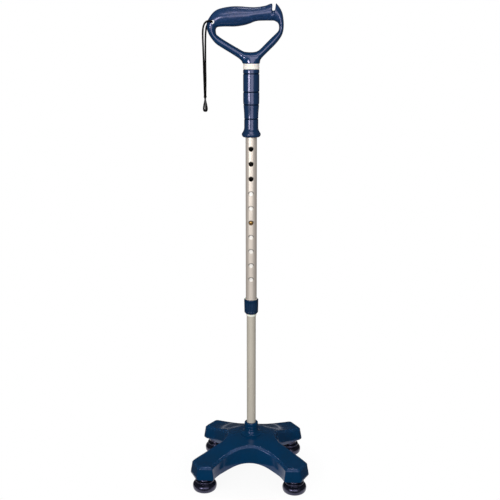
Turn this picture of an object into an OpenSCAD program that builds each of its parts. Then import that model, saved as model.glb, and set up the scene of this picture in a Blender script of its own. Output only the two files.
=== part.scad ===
// Quad walking cane: D-handle, second grip, two sliding tubes and a four-footed base.
// Millimetres. The origin is on the floor under the pole, +Z is up, the adjusting holes face -Y.

/* [Tubes] */
// Outside diameter of the upper tube
upper_od = 19; // [18:0.5:21]
// Wall of both tubes
tube_wall = 1.2; // [1:0.1:1.5]
// Gap between the two tubes, on the radius
slide_gap = 0.3; // [0.25:0.05:0.4]
// Height of the top adjusting hole above the floor
top_hole_z = 592.5; // [560:0.5:640]
// Distance from one adjusting hole to the next
hole_pitch = 25; // [22:0.5:27]
// Number of adjusting holes
hole_count = 10; // [8:1:11]
// Diameter of an adjusting hole
hole_d = 7.8; // [7:0.1:8.4]
// Which hole holds the button, counted from the top
button_hole = 6; // [4:1:8]
// Length of the upper tube below its lowest hole
tube_tail = 49; // [42:1:56]
// Length of the lower tube above the button
tube_head = 62; // [55:1:68]

/* [Snap button] */
// Gap round the button in its hole, on the radius
button_gap = 0.2; // [0.15:0.05:0.3]
// Length of the button, dome included
button_len = 6.2; // [5.5:0.1:7]
// Width of the leaf spring
spring_w = 6; // [4:0.5:6.5]
// Thickness of the leaf spring
spring_t = 0.8; // [0.6:0.1:1]
// Length of the leaf spring above the button
spring_rise = 38; // [30:1:44]

/* [Second grip] */
// Distance from the top hole's centre up to the grip's foot
grip_above_hole = 19.5; // [16:0.5:26]
// Length of the grip
grip_len = 109.5; // [95:0.5:120]
// Diameter of the grip's upper half
grip_top_d = 26.6; // [25:0.2:29]
// Diameter of the grip's waist
grip_waist_d = 23.4; // [22.6:0.2:24.6]
// Diameter of the flared foot
flare_d = 32; // [29:0.5:35]
// Depth of the ring grooves
groove_depth = 0.9; // [0.5:0.1:1.2]
// Height of the spacer ring above the grip
ring_h = 9; // [6:0.5:12]
// Diameter of the spacer ring
ring_d = 26.4; // [25:0.2:28]

/* [Handle] */
// Reach of the handle to the left of the pole
reach_left = 72; // [68:0.5:73]
// Reach of the handle to the right of the pole
reach_right = 52; // [48:0.5:58]
// Height of the grip bar above the neck's foot
handle_h = 89; // [86:0.5:96]
// Height of the plain web above the neck's foot
web_h = 18.2; // [16:0.2:20]
// Thickness of the grip bar at its left end
bar_left_t = 31; // [28:0.5:33]
// Thickness of the grip bar at its right end
bar_right_t = 22; // [19:0.5:24]
// Depth of the grip bar from front to back
bar_depth = 31; // [28:0.5:34]
// Depth of the two arms from front to back
arm_depth = 18; // [15:0.5:22]
// Diameter of the neck
neck_d = 26; // [25:0.2:28]
// Depth of the notch near the bar's right end
notch_depth = 10.5; // [8:0.5:12]
// Diameter of the strap hole
strap_hole_d = 7; // [6.5:0.1:8]
// Length of the spigot inside the upper tube
spigot_len = 58; // [50:1:60]
// Diameter of the cross rivet
rivet_d = 4; // [3:0.2:5]

/* [Locking collar] */
// Height of the collar
collar_h = 27; // [24:0.5:32]
// Diameter at the collar's top
collar_top_d = 24.8; // [24.2:0.1:27]
// Diameter at the collar's foot
collar_foot_d = 23.6; // [23.2:0.1:25]
// How far the collar reaches up over the upper tube
collar_lap = 12.5; // [10:0.5:15]
// Number of flutes round the collar
flute_count = 18; // [12:1:24]
// Depth of a flute
flute_depth = 0.7; // [0.4:0.1:0.8]
// Length of the bush's lip below the collar
lip_len = 3.5; // [2:0.5:6]

/* [Base] */
// Height of the base's underside over the feet
foot_h = 31; // [28:0.5:36]
// Height of the base at its four ends
pad_h = 23; // [20:0.5:28]
// Rise of the base's top from its ends to the hub
hub_rise = 22.5; // [18:0.5:28]
// Rise of the underside from the feet to the hub
under_rise = 11; // [8:0.5:14]
// Height of the boss above the hub
boss_h = 20.5; // [16:0.5:28]
// Diameter of the boss
boss_d = 24.4; // [23:0.2:27]
// Half width of the base across the front ends
front_half_w = 105.5; // [102:0.5:112]
// Half width of the base across the rear ends
rear_half_w = 95.5; // [93:0.5:102]
// Half depth of the base, front to rear
half_depth = 96.5; // [94:0.5:102]
// Radius of the front arch in plan
front_arch_r = 63; // [58:0.5:66]
// Radius of the rear arch in plan
rear_arch_r = 50; // [46:0.5:54]
// Radius of the two side arches in plan
side_arch_r = 52; // [46:0.5:54]
// Distance from the pole to the nearest point of an arch
arch_clear = 49; // [47:0.5:53]
// Wall of the moulding
base_wall = 3.6; // [3:0.2:4.4]
// Draft of the moulding's walls, in degrees
draft = 7; // [4:0.5:9]
// Thickness of the ribs under the base
rib_t = 3; // [2:0.2:4]
// Height of the tube's lower end above the floor
socket_z = 50; // [48:0.5:54]
// Thickness of the socket's floor
socket_floor = 6; // [4:0.5:6]

/* [Feet] */
// Distance from the pole to a front foot, across
front_foot_x = 79; // [77:0.5:82]
// Distance from the pole to a rear foot, across
rear_foot_x = 70.5; // [68:0.5:73]
// Distance from the pole to a foot, front to rear
foot_y = 69.5; // [67:0.5:72]
// Widest diameter of a foot
foot_d = 42.4; // [38:0.2:46]
// Diameter of a foot's neck
foot_neck_d = 25.2; // [22:0.2:27]
// Diameter of a foot's stem in the base
stem_d = 14; // [12:0.5:16]
// Length of a foot's stem
stem_len = 12.5; // [10:0.5:14]
// Depth of the screw recess under a foot
recess_h = 9; // [8:0.5:11]

/* [Hardware] */
// Diameter of the foot screws
screw_d = 5; // [4:0.5:6]
// Diameter of the base bolt
bolt_d = 8; // [6:0.5:9]
// Thickness of the washers
washer_t = 1; // [0.8:0.1:1.6]
// Clearance of pieces that are pushed together, on the radius
push_fit = 0.1; // [0.06:0.01:0.15]
// Clearance of pieces that run on each other, on the radius
run_fit = 0.08; // [0.05:0.01:0.1]
// Clearance of the turning collar, on the radius
turn_gap = 0.3; // [0.25:0.05:0.4]

/* [Hidden] */

$fn = 96;
cut = 1;

// Heights up the pole, all worked out from the top hole
last_hole_z = top_hole_z - hole_pitch * (hole_count - 1);
button_z = top_hole_z - hole_pitch * (button_hole - 1);
upper_foot_z = last_hole_z - tube_tail;
grip_z = top_hole_z + grip_above_hole;
ring_z = grip_z + grip_len;
neck_z = ring_z + ring_h;
rivet_z = neck_z - spigot_len / 2;
collar_top_z = upper_foot_z + collar_lap;
collar_foot_z = collar_top_z - collar_h;
lower_top_z = button_z + tube_head;

// Tube diameters
upper_id = upper_od - 2 * tube_wall;
lower_od = upper_id - 2 * slide_gap;
lower_id = lower_od - 2 * tube_wall;

// Bush inside the collar
sleeve_wall = 0.9;
collar_web = 3.2;
sleeve_d = upper_od + 2 * push_fit + 2 * sleeve_wall;
lip_d = lower_od + 2 * run_fit + 2 * sleeve_wall;

// Heights of the base
pad_top_z = foot_h + pad_h;
hub_top_z = pad_top_z + hub_rise;
boss_top_z = hub_top_z + boss_h;
crown_start_r = 10;
crown_end_r = 105;
under_start_r = 30;
under_end_r = 88;
boss_fillet = 5;
boss_edge = 1.8;
edge_round = 5;
front_cut = [15.5, 30.5];
rear_cut = [20.5, 30.5];
core_d = boss_d + 6;
foot_boss_d = stem_d + 13;
screw_grip = 6;
boss_sink = 0.4;

// Shapes of a side arch and of half the rear arch, as shares of their sizes
side_arch = [
    [0.86, -0.91], [0.635, -0.66], [0.34, -0.415], [0.075, -0.24], [0, 0.04],
    [0.035, 0.32], [0.215, 0.57], [0.515, 0.935], [0.78, 1.1]
];
rear_arch = [[1.26, 0.93], [0.93, 0.79], [0.58, 0.52], [0.25, 0.12], [0, 0]];

// Plan of the base: steps to each half arch, points across an arm's end, and points from one arm to the next
arch_steps = 8;
arm_end = 2;
arm_points = 2 * arch_steps + arm_end + 1;
arms = [for (i = [0 : 3]) i * arm_points];
skin_steps = 4;
draw_in = 0.9;

// Wrist cord: it lies on the left of the strap hole, and its route is given from the hole's middle
strap_x = 10 - reach_left;
strap_z = neck_z + 65;
cord_d = 3;
cord_gap = 0.25;
cord_sides = 8;
cord_steps = 2;
cord_seat = (strap_hole_d - cord_d) / 2 - cord_gap;
cord_rest = [-0.94 * cord_seat, 0.3 * cord_seat];
cord_side = arm_depth / 2;
cord_route = [
    [-13.4, 1.5, -116.5], [-12.8, 1.2, -95], [-12.6, 1.2, -70.5], [-12.4, 1.7, -47.5], [-12.4, 3.2, -33],
    [-12.5, 5.6, -22], [-12.5, cord_side, -13], [-11.9, cord_side + 4.2, -6], [-10, cord_side + 8, -1.2],
    [-7, cord_side + 9.6, 1.2], [-3.6, cord_side + 8.2, 1.4], [-1.9, cord_side + 4.5, 0.8],
    [cord_rest.x, cord_side, cord_rest.y], [cord_rest.x, 0, cord_rest.y],
    [cord_rest.x, -cord_side, cord_rest.y],
    [-1.9, -cord_side - 4.5, 0.8], [-3.8, -cord_side - 8.6, 1.5], [-7.6, -cord_side - 10.2, 1.6],
    [-11.2, -cord_side - 8.4, -0.6], [-13.6, -cord_side - 4.6, -5.4], [-15, -cord_side - 0.4, -12],
    [-15.8, -5.8, -21], [-16, -3.2, -32], [-15.9, -1.7, -47], [-15.4, -1.2, -70], [-15, -1.2, -94],
    [-14.4, -1.5, -116.5]
];
knot_x = -13.9;
knot_drop = 118;
knot_r = 2.6;
end_len = 18.5;
end_neck = 3.5;

// Smooth step from 1 at radius a to 0 at radius b
function wave(r, a, b) = r <= a ? 1 : r >= b ? 0 : 0.5 + 0.5 * cos(180 * (r - a) / (b - a));
// Height of the base's top and underside at a distance from the pole
function crown_z(r) = pad_top_z + hub_rise * wave(r, crown_start_r, crown_end_r);
function under_z(r) = foot_h + under_rise * wave(r, under_start_r, under_end_r);

function unit(v) = v / norm(v);
// Point between b and c on a smooth curve through a, b, c and d
function curve(a, b, c, d, t) =
    0.5 * (2 * b + t * (c - a) + t * t * (2 * a - 5 * b + 4 * c - d) + t * t * t * (3 * b - a - 3 * c + d));
// An open list of points or stations, filled in with n steps to each stretch
function smooth_open(p, n) = [
    for (i = [0 : len(p) - 2], k = [0 : n - 1])
        curve(p[max(i - 1, 0)], p[i], p[i + 1], p[min(i + 2, len(p) - 1)], k / n),
    p[len(p) - 1]
];
function smooth_closed(p, n) = let (m = len(p)) [
    for (i = [0 : m - 1], k = [0 : n - 1])
        curve(p[(i + m - 1) % m], p[i], p[(i + 1) % m], p[(i + 2) % m], k / n)
];

// Directions along a path, and one sideways direction at each point that turns as little as it can
function along(p) = let (e = len(p) - 1) [for (i = [0 : e]) unit(p[min(i + 1, e)] - p[max(i - 1, 0)])];
function sideways(t, s, i = 0) =
    i >= len(t) ? [] : let (w = unit(s - (s * t[i]) * t[i])) concat([w], sideways(t, w, i + 1));

// Two triangles for each cell of a grid of rings, each of n points
function cells(rings, n, last) = [
    for (i = [0 : last], j = [0 : n - 1])
        let (a = i * n + j, b = i * n + (j + 1) % n,
             c = ((i + 1) % rings) * n + (j + 1) % n, d = ((i + 1) % rings) * n + j)
            each [[a, b, c], [a, c, d]]
];

// A round tube along a path
module tube_along(path, d, n) {
    t = along(path);
    s = sideways(t, [1, 0.2, 0]);
    rings = len(path);
    points = [
        for (i = [0 : rings - 1], j = [0 : n - 1])
            let (a = 360 * j / n, w = cross(t[i], s[i])) path[i] + d / 2 * (cos(a) * s[i] + sin(a) * w)
    ];
    start = [[for (j = [0 : n - 1]) n - 1 - j]];
    end = [[for (j = [0 : n - 1]) (rings - 1) * n + j]];
    polyhedron(points, concat(start, cells(rings, n, rings - 2), end));
}

module pipe(od, id, z0, z1) {
    translate([0, 0, z0]) difference() {
        cylinder(d = od, h = z1 - z0);
        translate([0, 0, -cut]) cylinder(d = id, h = z1 - z0 + 2 * cut);
    }
}

// A hole drilled into the front of the pole
module front_hole(d, z) {
    translate([0, 0, z]) rotate([90, 0, 0]) cylinder(d = d, h = upper_od);
}

module at_feet() {
    for (side = [-1, 1]) {
        translate([side * front_foot_x, -foot_y, 0]) children();
        translate([side * rear_foot_x, foot_y, 0]) children();
    }
}

// An arc of n + 1 points about a centre
function arc(c, r, a0, a1, n) =
    [for (i = [0 : n]) let (a = a0 + (a1 - a0) * i / n) c + r * [cos(a), sin(a)]];

// Plan of the base's lower edge: the right half from the front arch's middle round to the rear arch's
function base_half() = let (
    f = front_half_w, r = rear_half_w, d = half_depth, stretch = arch_steps / 4,
    front = arch_clear + front_arch_r, front_end = asin((front - d) / front_arch_r),
    side = [for (q = side_arch) [arch_clear, 0] + side_arch_r * q],
    rear = [for (q = rear_arch) [rear_arch_r * q.x, arch_clear + (d - arch_clear) * q.y]]
) concat(
    arc([0, -front], front_arch_r, 90, front_end, arch_steps),
    [[f - front_cut.x, -d], [f, -d + front_cut.y]],
    smooth_open(side, stretch),
    [[r, d - rear_cut.y], [r - rear_cut.x, d]],
    smooth_open(rear, stretch)
);
function base_outline() = let (h = base_half(), e = len(h) - 1)
    concat(h, [for (i = [1 : e - 1]) [-h[e - i].x, h[e - i].y]]);

// Outward normals of a closed plan, longer at its corners so that a moved edge keeps its distance
function outward(p) = let (n = len(p)) [
    for (i = [0 : n - 1])
        let (a = unit(p[i] - p[(i + n - 1) % n]), b = unit(p[(i + 1) % n] - p[i]), m = unit(a + b))
            [m.y, -m.x] / (m * b)
];

// Middle of an arm, between the same steps of the two arches beside it
function arm_middle(p, arm, i) = (p[arm + i] + p[arm + arm_points - i]) / 2;
// The point towards which each point of the plan is drawn in: the pole or the middle of its arm
function spine(p) = [
    for (arm = arms) each concat(
        [[0, 0]],
        [for (i = [1 : arch_steps]) arm_middle(p, arm, i)],
        [for (k = [1 : arm_end]) arm_middle(p, arm, arch_steps)],
        [for (i = [arch_steps : -1 : 1]) arm_middle(p, arm, i)]
    )
];

function raised(q, z) = [q.x, q.y, z];
// Section of the base at a point p of its plan, from under the skin out to the wall and over the top
function base_section(p, normal, inner) = let (
    low_z = under_z(norm(p)),
    lean = (crown_z(norm(p)) - low_z) * tan(draft),
    wall = p - (lean + base_wall) * normal,
    turn = p - (lean + edge_round) * normal,
    top_z = crown_z(norm(turn))
) concat(
    [for (k = [skin_steps : -1 : 0])
        let (q = wall + (inner - wall) * draw_in * k / skin_steps) raised(q, crown_z(norm(q)) - base_wall)],
    [raised(p - base_wall * normal, low_z), raised(p, low_z), raised(p - lean * normal, top_z - edge_round)],
    [for (a = [30 : 30 : 60])
        raised(p - (lean + edge_round * (1 - cos(a))) * normal, top_z - edge_round * (1 - sin(a)))],
    [for (k = [0 : skin_steps])
        let (q = turn + (inner - turn) * draw_in * k / skin_steps) raised(q, crown_z(norm(q)))]
);

// Triangles that close the innermost ring of the skin: across the hub, along each arm and at its end
function skin_cap(first, n, centre) = [
    for (arm = arms) let (s = first + arm, e = arm_points) each concat(
        [[centre, s, s + 1], [centre, s + 1, s + e - 1], [centre, s + e - 1, first + (arm + e) % n]],
        [for (i = [1 : arch_steps - 1])
            each [[s + i, s + i + 1, s + e - i - 1], [s + i, s + e - i - 1, s + e - i]]],
        [for (k = [1 : arm_end]) [s + arch_steps, s + arch_steps + k, s + arch_steps + k + 1]]
    )
];
function flipped(faces) = [for (f = faces) [f[2], f[1], f[0]]];

// Hollow form of the base
module base_shell() {
    plan = base_outline();
    normals = outward(plan);
    inner = spine(plan);
    n = len(plan);
    sections = [for (j = [0 : n - 1]) base_section(plan[j], normals[j], inner[j])];
    rings = len(sections[0]);
    points = concat(
        [for (k = [0 : rings - 1], j = [0 : n - 1]) sections[j][k]],
        [[0, 0, crown_z(0) - base_wall], [0, 0, crown_z(0)]]
    );
    polyhedron(points, concat(
        skin_cap(0, n, rings * n),
        flipped(cells(rings, n, rings - 2)),
        flipped(skin_cap((rings - 1) * n, n, rings * n + 1))
    ));
}

// Core of the hub with the boss on top, both round
module base_hub() {
    core_r = core_d / 2;
    boss_r = boss_d / 2;
    fillet_r = boss_r + boss_fillet;
    fillet_z = crown_z(fillet_r) + boss_fillet - boss_sink;
    rotate_extrude() polygon(concat(
        [[0, under_z(0)], [core_r, under_z(core_r)], [core_r, fillet_z - boss_fillet - boss_sink]],
        [[fillet_r, fillet_z - boss_fillet - boss_sink]],
        [for (a = [90 : -15 : 0]) [fillet_r - boss_fillet * cos(a), fillet_z - boss_fillet * sin(a)]],
        [[boss_r, boss_top_z - boss_edge], [boss_r - boss_edge, boss_top_z], [0, boss_top_z]]
    ));
}

// A rib from the hub's core to each foot, let into the skin above it
module base_ribs() {
    lap = 1;
    lift = 6;
    steps = 4;
    for (x = [-1, 1], f = [[x * front_foot_x, -foot_y], [x * rear_foot_x, foot_y]]) {
        reach = norm(f);
        start = core_d / 2 - lap;
        top = [
            for (k = [0 : steps])
                let (r = start + (reach - start) * k / steps) [r, crown_z(r) - base_wall + lap]
        ];
        rotate([0, 0, atan2(f.y, f.x)]) rotate([90, 0, 0]) translate([0, 0, -rib_t / 2])
            linear_extrude(height = rib_t)
                polygon(concat(top, [[reach, foot_h + lift], [start, under_z(start)]]));
    }
}

// A bore in two steps: wide from z0 to z1, then narrow up to z2
module stepped_bore(d1, d2, z0, z1, z2) {
    rotate_extrude() polygon([[0, z0], [d1 / 2, z0], [d1 / 2, z1], [d2 / 2, z1], [d2 / 2, z2], [0, z2]]);
}

module base_moulding() {
    bolt_bore = bolt_d + 4 * push_fit;
    screw_top_z = foot_h + stem_len + screw_grip + cut;
    color("#12284f") difference() {
        union() {
            base_shell();
            base_hub();
            base_ribs();
            at_feet() translate([0, 0, foot_h]) cylinder(d = foot_boss_d, h = pad_h - base_wall / 2);
        }
        translate([0, 0, socket_z]) cylinder(d = lower_od + 2 * push_fit, h = boss_top_z);
        stepped_bore(2.4 * bolt_d, bolt_bore, 0, socket_z - socket_floor, socket_z);
        at_feet() stepped_bore(stem_d + 2 * push_fit, screw_d + 2 * push_fit, foot_h - cut,
                               foot_h + stem_len + push_fit, screw_top_z);
    }
}

// Rubber foot: a wide bell with a ring, a neck and a stem that goes up into the base
module foot() {
    r = foot_d / 2;
    n = foot_neck_d / 2;
    color("#15161a") rotate_extrude() polygon([
        [1.2 * screw_d, 0], [r - 4.2, 0], [r - 1.5, 1.8], [r - 0.3, 5.2], [r, 9], [r - 0.8, 12],
        [r - 3.2, 14.4], [n + 3, 15.4], [n + 2.6, 16.2], [n + 4, 17], [n + 4, 18.8], [n + 3, 19.8],
        [n + 0.4, 21], [n, 24], [n, foot_h], [stem_d / 2, foot_h], [stem_d / 2, foot_h + stem_len],
        [screw_d / 2 + push_fit, foot_h + stem_len], [screw_d / 2 + push_fit, recess_h],
        [1.2 * screw_d, recess_h]
    ]);
}

module foot_front_left() {
    translate([-front_foot_x, -foot_y, 0]) foot();
}

module foot_front_right() {
    translate([front_foot_x, -foot_y, 0]) foot();
}

module foot_rear_left() {
    translate([-rear_foot_x, foot_y, 0]) foot();
}

module foot_rear_right() {
    translate([rear_foot_x, foot_y, 0]) foot();
}

module foot_screws() {
    head_h = 3;
    color("#8f9298") at_feet() {
        translate([0, 0, recess_h - washer_t - head_h]) difference() {
            cylinder(d = 1.8 * screw_d, h = head_h);
            translate([0, 0, -cut]) cylinder(d = 0.9 * screw_d, h = 2 + cut, $fn = 6);
        }
        translate([0, 0, recess_h - washer_t])
            cylinder(d = screw_d, h = foot_h + stem_len + screw_grip - recess_h);
    }
}

module foot_washers() {
    color("#a4a7ab") at_feet()
        pipe(2.2 * screw_d, screw_d + 2 * push_fit, recess_h - washer_t, recess_h);
}

module base_bolt() {
    head_h = 5.3;
    head_z = socket_z - socket_floor - washer_t - head_h;
    color("#8f9298") {
        translate([0, 0, head_z]) cylinder(d = 1.75 * bolt_d, h = head_h, $fn = 6);
        translate([0, 0, head_z + head_h]) cylinder(d = bolt_d, h = socket_floor + washer_t + 20);
    }
}

module base_washer() {
    color("#a4a7ab")
        pipe(2 * bolt_d, bolt_d + 2 * push_fit, socket_z - socket_floor - washer_t, socket_z - socket_floor);
}

module tube_plug() {
    color("#7c7f84") pipe(lower_id - 2 * push_fit, bolt_d + 2 * push_fit, socket_z, socket_z + 25);
}

module lower_tube() {
    color("#c3bcae") difference() {
        pipe(lower_od, lower_id, socket_z, lower_top_z);
        front_hole(hole_d, button_z);
    }
}

module guide_cap() {
    flange_h = 4;
    plug_h = 12;
    color("#e8e6df") {
        translate([0, 0, lower_top_z]) cylinder(d = upper_id - 2 * run_fit, h = flange_h);
        translate([0, 0, lower_top_z - plug_h]) cylinder(d = lower_id - 2 * push_fit, h = plug_h);
    }
}

// Folded leaf spring: the front leaf carries the button, the rear leaf rests on the tube
module button_spring() {
    leaf_half = 7;
    front_y = button_len - lower_od / 2 - push_fit;
    wall_y = sqrt(pow(lower_id / 2, 2) - pow(spring_w / 2, 2)) - push_fit;
    color("#b9bbbf") translate([-spring_w / 2, 0, button_z]) rotate([90, 0, 90])
        linear_extrude(height = spring_w) polygon([
            [front_y, -leaf_half], [front_y, leaf_half], [wall_y - 1.6 * spring_t, spring_rise],
            [wall_y, spring_rise], [wall_y, -1.6 * leaf_half], [wall_y - spring_t, -1.6 * leaf_half],
            [wall_y - spring_t, spring_rise - 2 * leaf_half], [front_y + spring_t, leaf_half],
            [front_y + spring_t, -leaf_half]
        ]);
}

// Button, pressed in level with the lower tube so that the tubes can slide
module snap_button() {
    r = hole_d / 2 - button_gap;
    dome_h = 2.2;
    color("#a98a55") translate([0, 0, button_z]) rotate([90, 0, 0])
        translate([0, 0, lower_od / 2 + push_fit - button_len]) rotate_extrude() polygon(concat(
            [[0, 0], [r, 0], [r, button_len - dome_h]],
            [for (a = [15 : 15 : 90]) [r * cos(a), button_len - dome_h + dome_h * sin(a)]]
        ));
}

module upper_tube() {
    color("#b9bcc0") difference() {
        pipe(upper_od, upper_id, upper_foot_z, neck_z);
        for (i = [0 : hole_count - 1]) front_hole(hole_d, top_hole_z - i * hole_pitch);
        translate([0, upper_od, rivet_z]) rotate([90, 0, 0]) cylinder(d = rivet_d, h = 2 * upper_od);
    }
}

// Nylon bush: a sleeve round the upper tube's foot, a bearing on the lower tube and a lip below
module collar_bush() {
    bore = lower_od + 2 * run_fit;
    shelf_z = collar_foot_z + collar_web + turn_gap;
    color("#e9e8e2") {
        pipe(sleeve_d, upper_od + 2 * push_fit, upper_foot_z, collar_top_z - turn_gap);
        pipe(sleeve_d, bore, shelf_z, upper_foot_z);
        pipe(lip_d, bore, collar_foot_z - lip_len, shelf_z);
    }
}

module locking_collar() {
    top_r = collar_top_d / 2;
    foot_r = collar_foot_d / 2;
    foot_cut = 2.4;
    flute_r = 1.2;
    color("#17305c") translate([0, 0, collar_foot_z]) difference() {
        rotate_extrude() polygon([
            [lip_d / 2 + turn_gap, 0], [foot_r - foot_cut, 0], [foot_r, foot_cut], [top_r, collar_h - 2],
            [top_r - 0.8, collar_h], [sleeve_d / 2 + turn_gap, collar_h],
            [sleeve_d / 2 + turn_gap, collar_web], [lip_d / 2 + turn_gap, collar_web]
        ]);
        for (i = [0 : flute_count - 1]) rotate([0, 0, (i + 0.5) * 360 / flute_count])
            translate([foot_r + flute_r - flute_depth, 0, 1.6 * foot_cut])
                cylinder(r = flute_r, h = collar_h - 3.3 * foot_cut);
    }
}

// Second grip: swells upwards, flares at its foot and has turned rings
module lower_grip() {
    waist_r = grip_waist_d / 2;
    top_r = grip_top_d / 2;
    flare_r = flare_d / 2;
    swell = [33, 62];
    grooves = [30, 53, 73.5, 102.5];
    groove_r = 1.1;
    bore_r = upper_od / 2 + push_fit;
    color("#17305c") translate([0, 0, grip_z]) difference() {
        rotate_extrude() polygon(concat(
            [[bore_r, 0], [flare_r - 3, 0], [flare_r - 1.2, 1.4], [flare_r, 4.4], [flare_r - 0.7, 6.6],
             [flare_r - 2.4, 9], [waist_r + 0.6, 12], [waist_r, 14.5]],
            [for (z = [swell[0] : (swell[1] - swell[0]) / 8 : swell[1]])
                [top_r + (waist_r - top_r) * wave(z, swell[0], swell[1]), z]],
            [[top_r, grip_len - 1.6], [top_r - 1, grip_len], [bore_r, grip_len]]
        ));
        for (z = grooves) rotate_extrude()
            translate([top_r + (waist_r - top_r) * wave(z, swell[0], swell[1]) + groove_r - groove_depth, z])
                circle(r = groove_r, $fn = 24);
    }
}

module spacer_ring() {
    color("#e9e8e2") pipe(ring_d, upper_od + 2 * push_fit, ring_z, neck_z);
}

// Stations round the handle: outer x and z, inner x and z, half depth, all from the neck's foot
function handle_stations() = let (
    l = -reach_left, r = reach_right, h = handle_h, n = neck_d / 2, w = web_h,
    left_in = h - bar_left_t, right_in = h - bar_right_t, a = arm_depth / 2, b = bar_depth / 2,
    lip = h + 4, notch = h + 4 - notch_depth
) [
    [0, 0, 0, w, n], [-n, 0, -9, w + 0.6, n - 0.5], [-n - 4.5, 6.4, -14, w + 2, n - 2.5],
    [l + 35, 18.5, l + 46, w + 8.5, a + 0.5], [l + 16.5, 30, l + 27, w + 19.5, a],
    [l + 8, 39, l + 18.5, 43.5, a],
    [l + 2.6, 48, l + 15.6, 46.5, a + 1], [l, 56.5, l + 14.8, left_in - 6, a + 2],
    [l + 0.7, 65, l + 16, left_in - 2, a + 2.8], [l + 4.2, h - 17.5, l + 19, left_in - 0.6, a + 3.4],
    [l + 10, h - 10, l + 24, left_in - 0.2, a + 4.2], [l + 17, h - 5, l + 29, left_in, b - 1],
    [l + 27, h - 2, l + 36, left_in, b - 0.3], [l + 41, h, l + 46, left_in, b],
    [-17, h, -14, left_in + 1.5, b],
    [-4, h - 1, -4, (left_in + right_in) / 2 - 0.5, b - 0.7], [8, h - 1.2, 8, right_in - 0.8, b - 1.8],
    [r - 30, h + 0.8, r - 31, right_in, b - 3], [r - 19, lip, r - 22, right_in, b - 4],
    [r - 18.6, notch + 1.5, r - 20.6, right_in, b - 4.2], [r - 16.2, notch, r - 18.8, right_in, b - 4.4],
    [r - 13.8, notch + 2, r - 17, right_in, b - 4.6], [r - 12.6, lip - 0.2, r - 15, right_in - 0.4, b - 4.8],
    [r - 10.6, lip - 0.9, r - 13, right_in - 1.2, b - 5], [r - 5.2, h - 4, r - 10, right_in - 3, b - 5.2],
    [r - 1.7, h - 12, r - 8.3, right_in - 5.5, a + 1.2], [r, h - 23, r - 7.4, right_in - 9.5, a + 0.6],
    [r + 0.2, h - 31.5, r - 7.6, right_in - 13, a], [r - 1, h - 40, r - 9, right_in - 16.5, a],
    [r - 5, h - 48.5, r - 13.5, right_in - 21, a], [r - 13, 30.5, r - 21, right_in - 28, a],
    [26, 17.6, 21, w + 11, a + 0.5], [n + 2, 6.6, 13.5, w + 4, n - 2.5], [n, 0, 8, w + 1, n - 0.5]
];

module handle_loop() {
    sides = 16;
    s = smooth_closed(handle_stations(), 2);
    points = [
        for (q = s, j = [0 : sides - 1])
            let (a = 360 * j / sides, m = [q[0] + q[2], q[1] + q[3]] / 2, e = [q[0] - q[2], q[1] - q[3]] / 2)
                [m.x + e.x * cos(a), q[4] * sin(a), m.y + e.y * cos(a)]
    ];
    polyhedron(points, cells(len(s), sides, len(s) - 1));
}

module handle() {
    color("#17305c") difference() {
        translate([0, 0, neck_z]) {
            handle_loop();
            cylinder(d = neck_d, h = web_h / 2);
            translate([0, 0, -spigot_len]) cylinder(d = upper_id - 2 * push_fit, h = spigot_len + web_h / 2);
        }
        translate([strap_x, bar_depth, strap_z]) rotate([90, 0, 0])
            cylinder(d = strap_hole_d, h = 2 * bar_depth);
        translate([0, upper_od, rivet_z]) rotate([90, 0, 0]) cylinder(d = rivet_d, h = 2 * upper_od);
    }
}

module handle_rivet() {
    color("#b9bcc0") translate([0, upper_od / 2, rivet_z]) rotate([90, 0, 0])
        cylinder(d = rivet_d - 2 * push_fit, h = upper_od);
}

module wrist_cord() {
    color("#17171b") translate([strap_x, 0, strap_z])
        tube_along(smooth_open(cord_route, cord_steps), cord_d, cord_sides);
}

module cord_knot() {
    turns = 1.9;
    color("#17171b") hull() {
        for (side = [-1, 1]) translate([strap_x + knot_x, side * turns, strap_z - knot_drop])
            sphere(r = knot_r, $fn = 20);
    }
}

// Bell that covers the cord's two cut ends, its neck let into the knot
module cord_end() {
    end_z = strap_z - knot_drop - knot_r - end_neck - end_len;
    color("#202126") translate([strap_x + knot_x, 0, end_z])
        rotate_extrude() polygon([
            [0, 0], [1.8, 0.2], [3.2, 1.2], [4, 3.2], [4.2, 5.5], [3.9, 8.2], [3.3, 11.5], [2.6, 14.5],
            [1.7, end_len], [1.7, end_len + end_neck + 1], [0, end_len + end_neck + 1]
        ]);
}

base_moulding();
foot_front_left();
foot_front_right();
foot_rear_left();
foot_rear_right();
foot_screws();
foot_washers();
base_bolt();
base_washer();
tube_plug();
lower_tube();
guide_cap();
button_spring();
snap_button();
upper_tube();
collar_bush();
locking_collar();
lower_grip();
spacer_ring();
handle();
handle_rivet();
wrist_cord();
cord_knot();
cord_end();
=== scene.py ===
"""Quad walking cane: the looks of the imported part, built round its CAD frame.

Sizes are in millimetres in the frame of the CAD model and become metres when a mesh is made.
"""

import logging
import math
from dataclasses import dataclass, field
from enum import Enum

import bpy
import numpy as np
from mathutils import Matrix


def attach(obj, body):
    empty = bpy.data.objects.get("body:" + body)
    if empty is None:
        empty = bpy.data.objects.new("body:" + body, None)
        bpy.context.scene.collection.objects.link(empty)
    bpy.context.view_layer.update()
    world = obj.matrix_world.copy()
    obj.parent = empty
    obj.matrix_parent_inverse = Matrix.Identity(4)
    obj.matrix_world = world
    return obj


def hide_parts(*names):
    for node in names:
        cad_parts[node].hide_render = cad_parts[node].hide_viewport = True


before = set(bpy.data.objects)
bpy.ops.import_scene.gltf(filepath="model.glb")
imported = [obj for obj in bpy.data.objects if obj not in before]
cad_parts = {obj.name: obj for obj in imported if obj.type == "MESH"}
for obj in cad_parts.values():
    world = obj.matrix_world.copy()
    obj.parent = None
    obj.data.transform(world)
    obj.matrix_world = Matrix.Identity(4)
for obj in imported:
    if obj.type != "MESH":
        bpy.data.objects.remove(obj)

LOG = logging.getLogger("cane")
MM = 0.001
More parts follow.
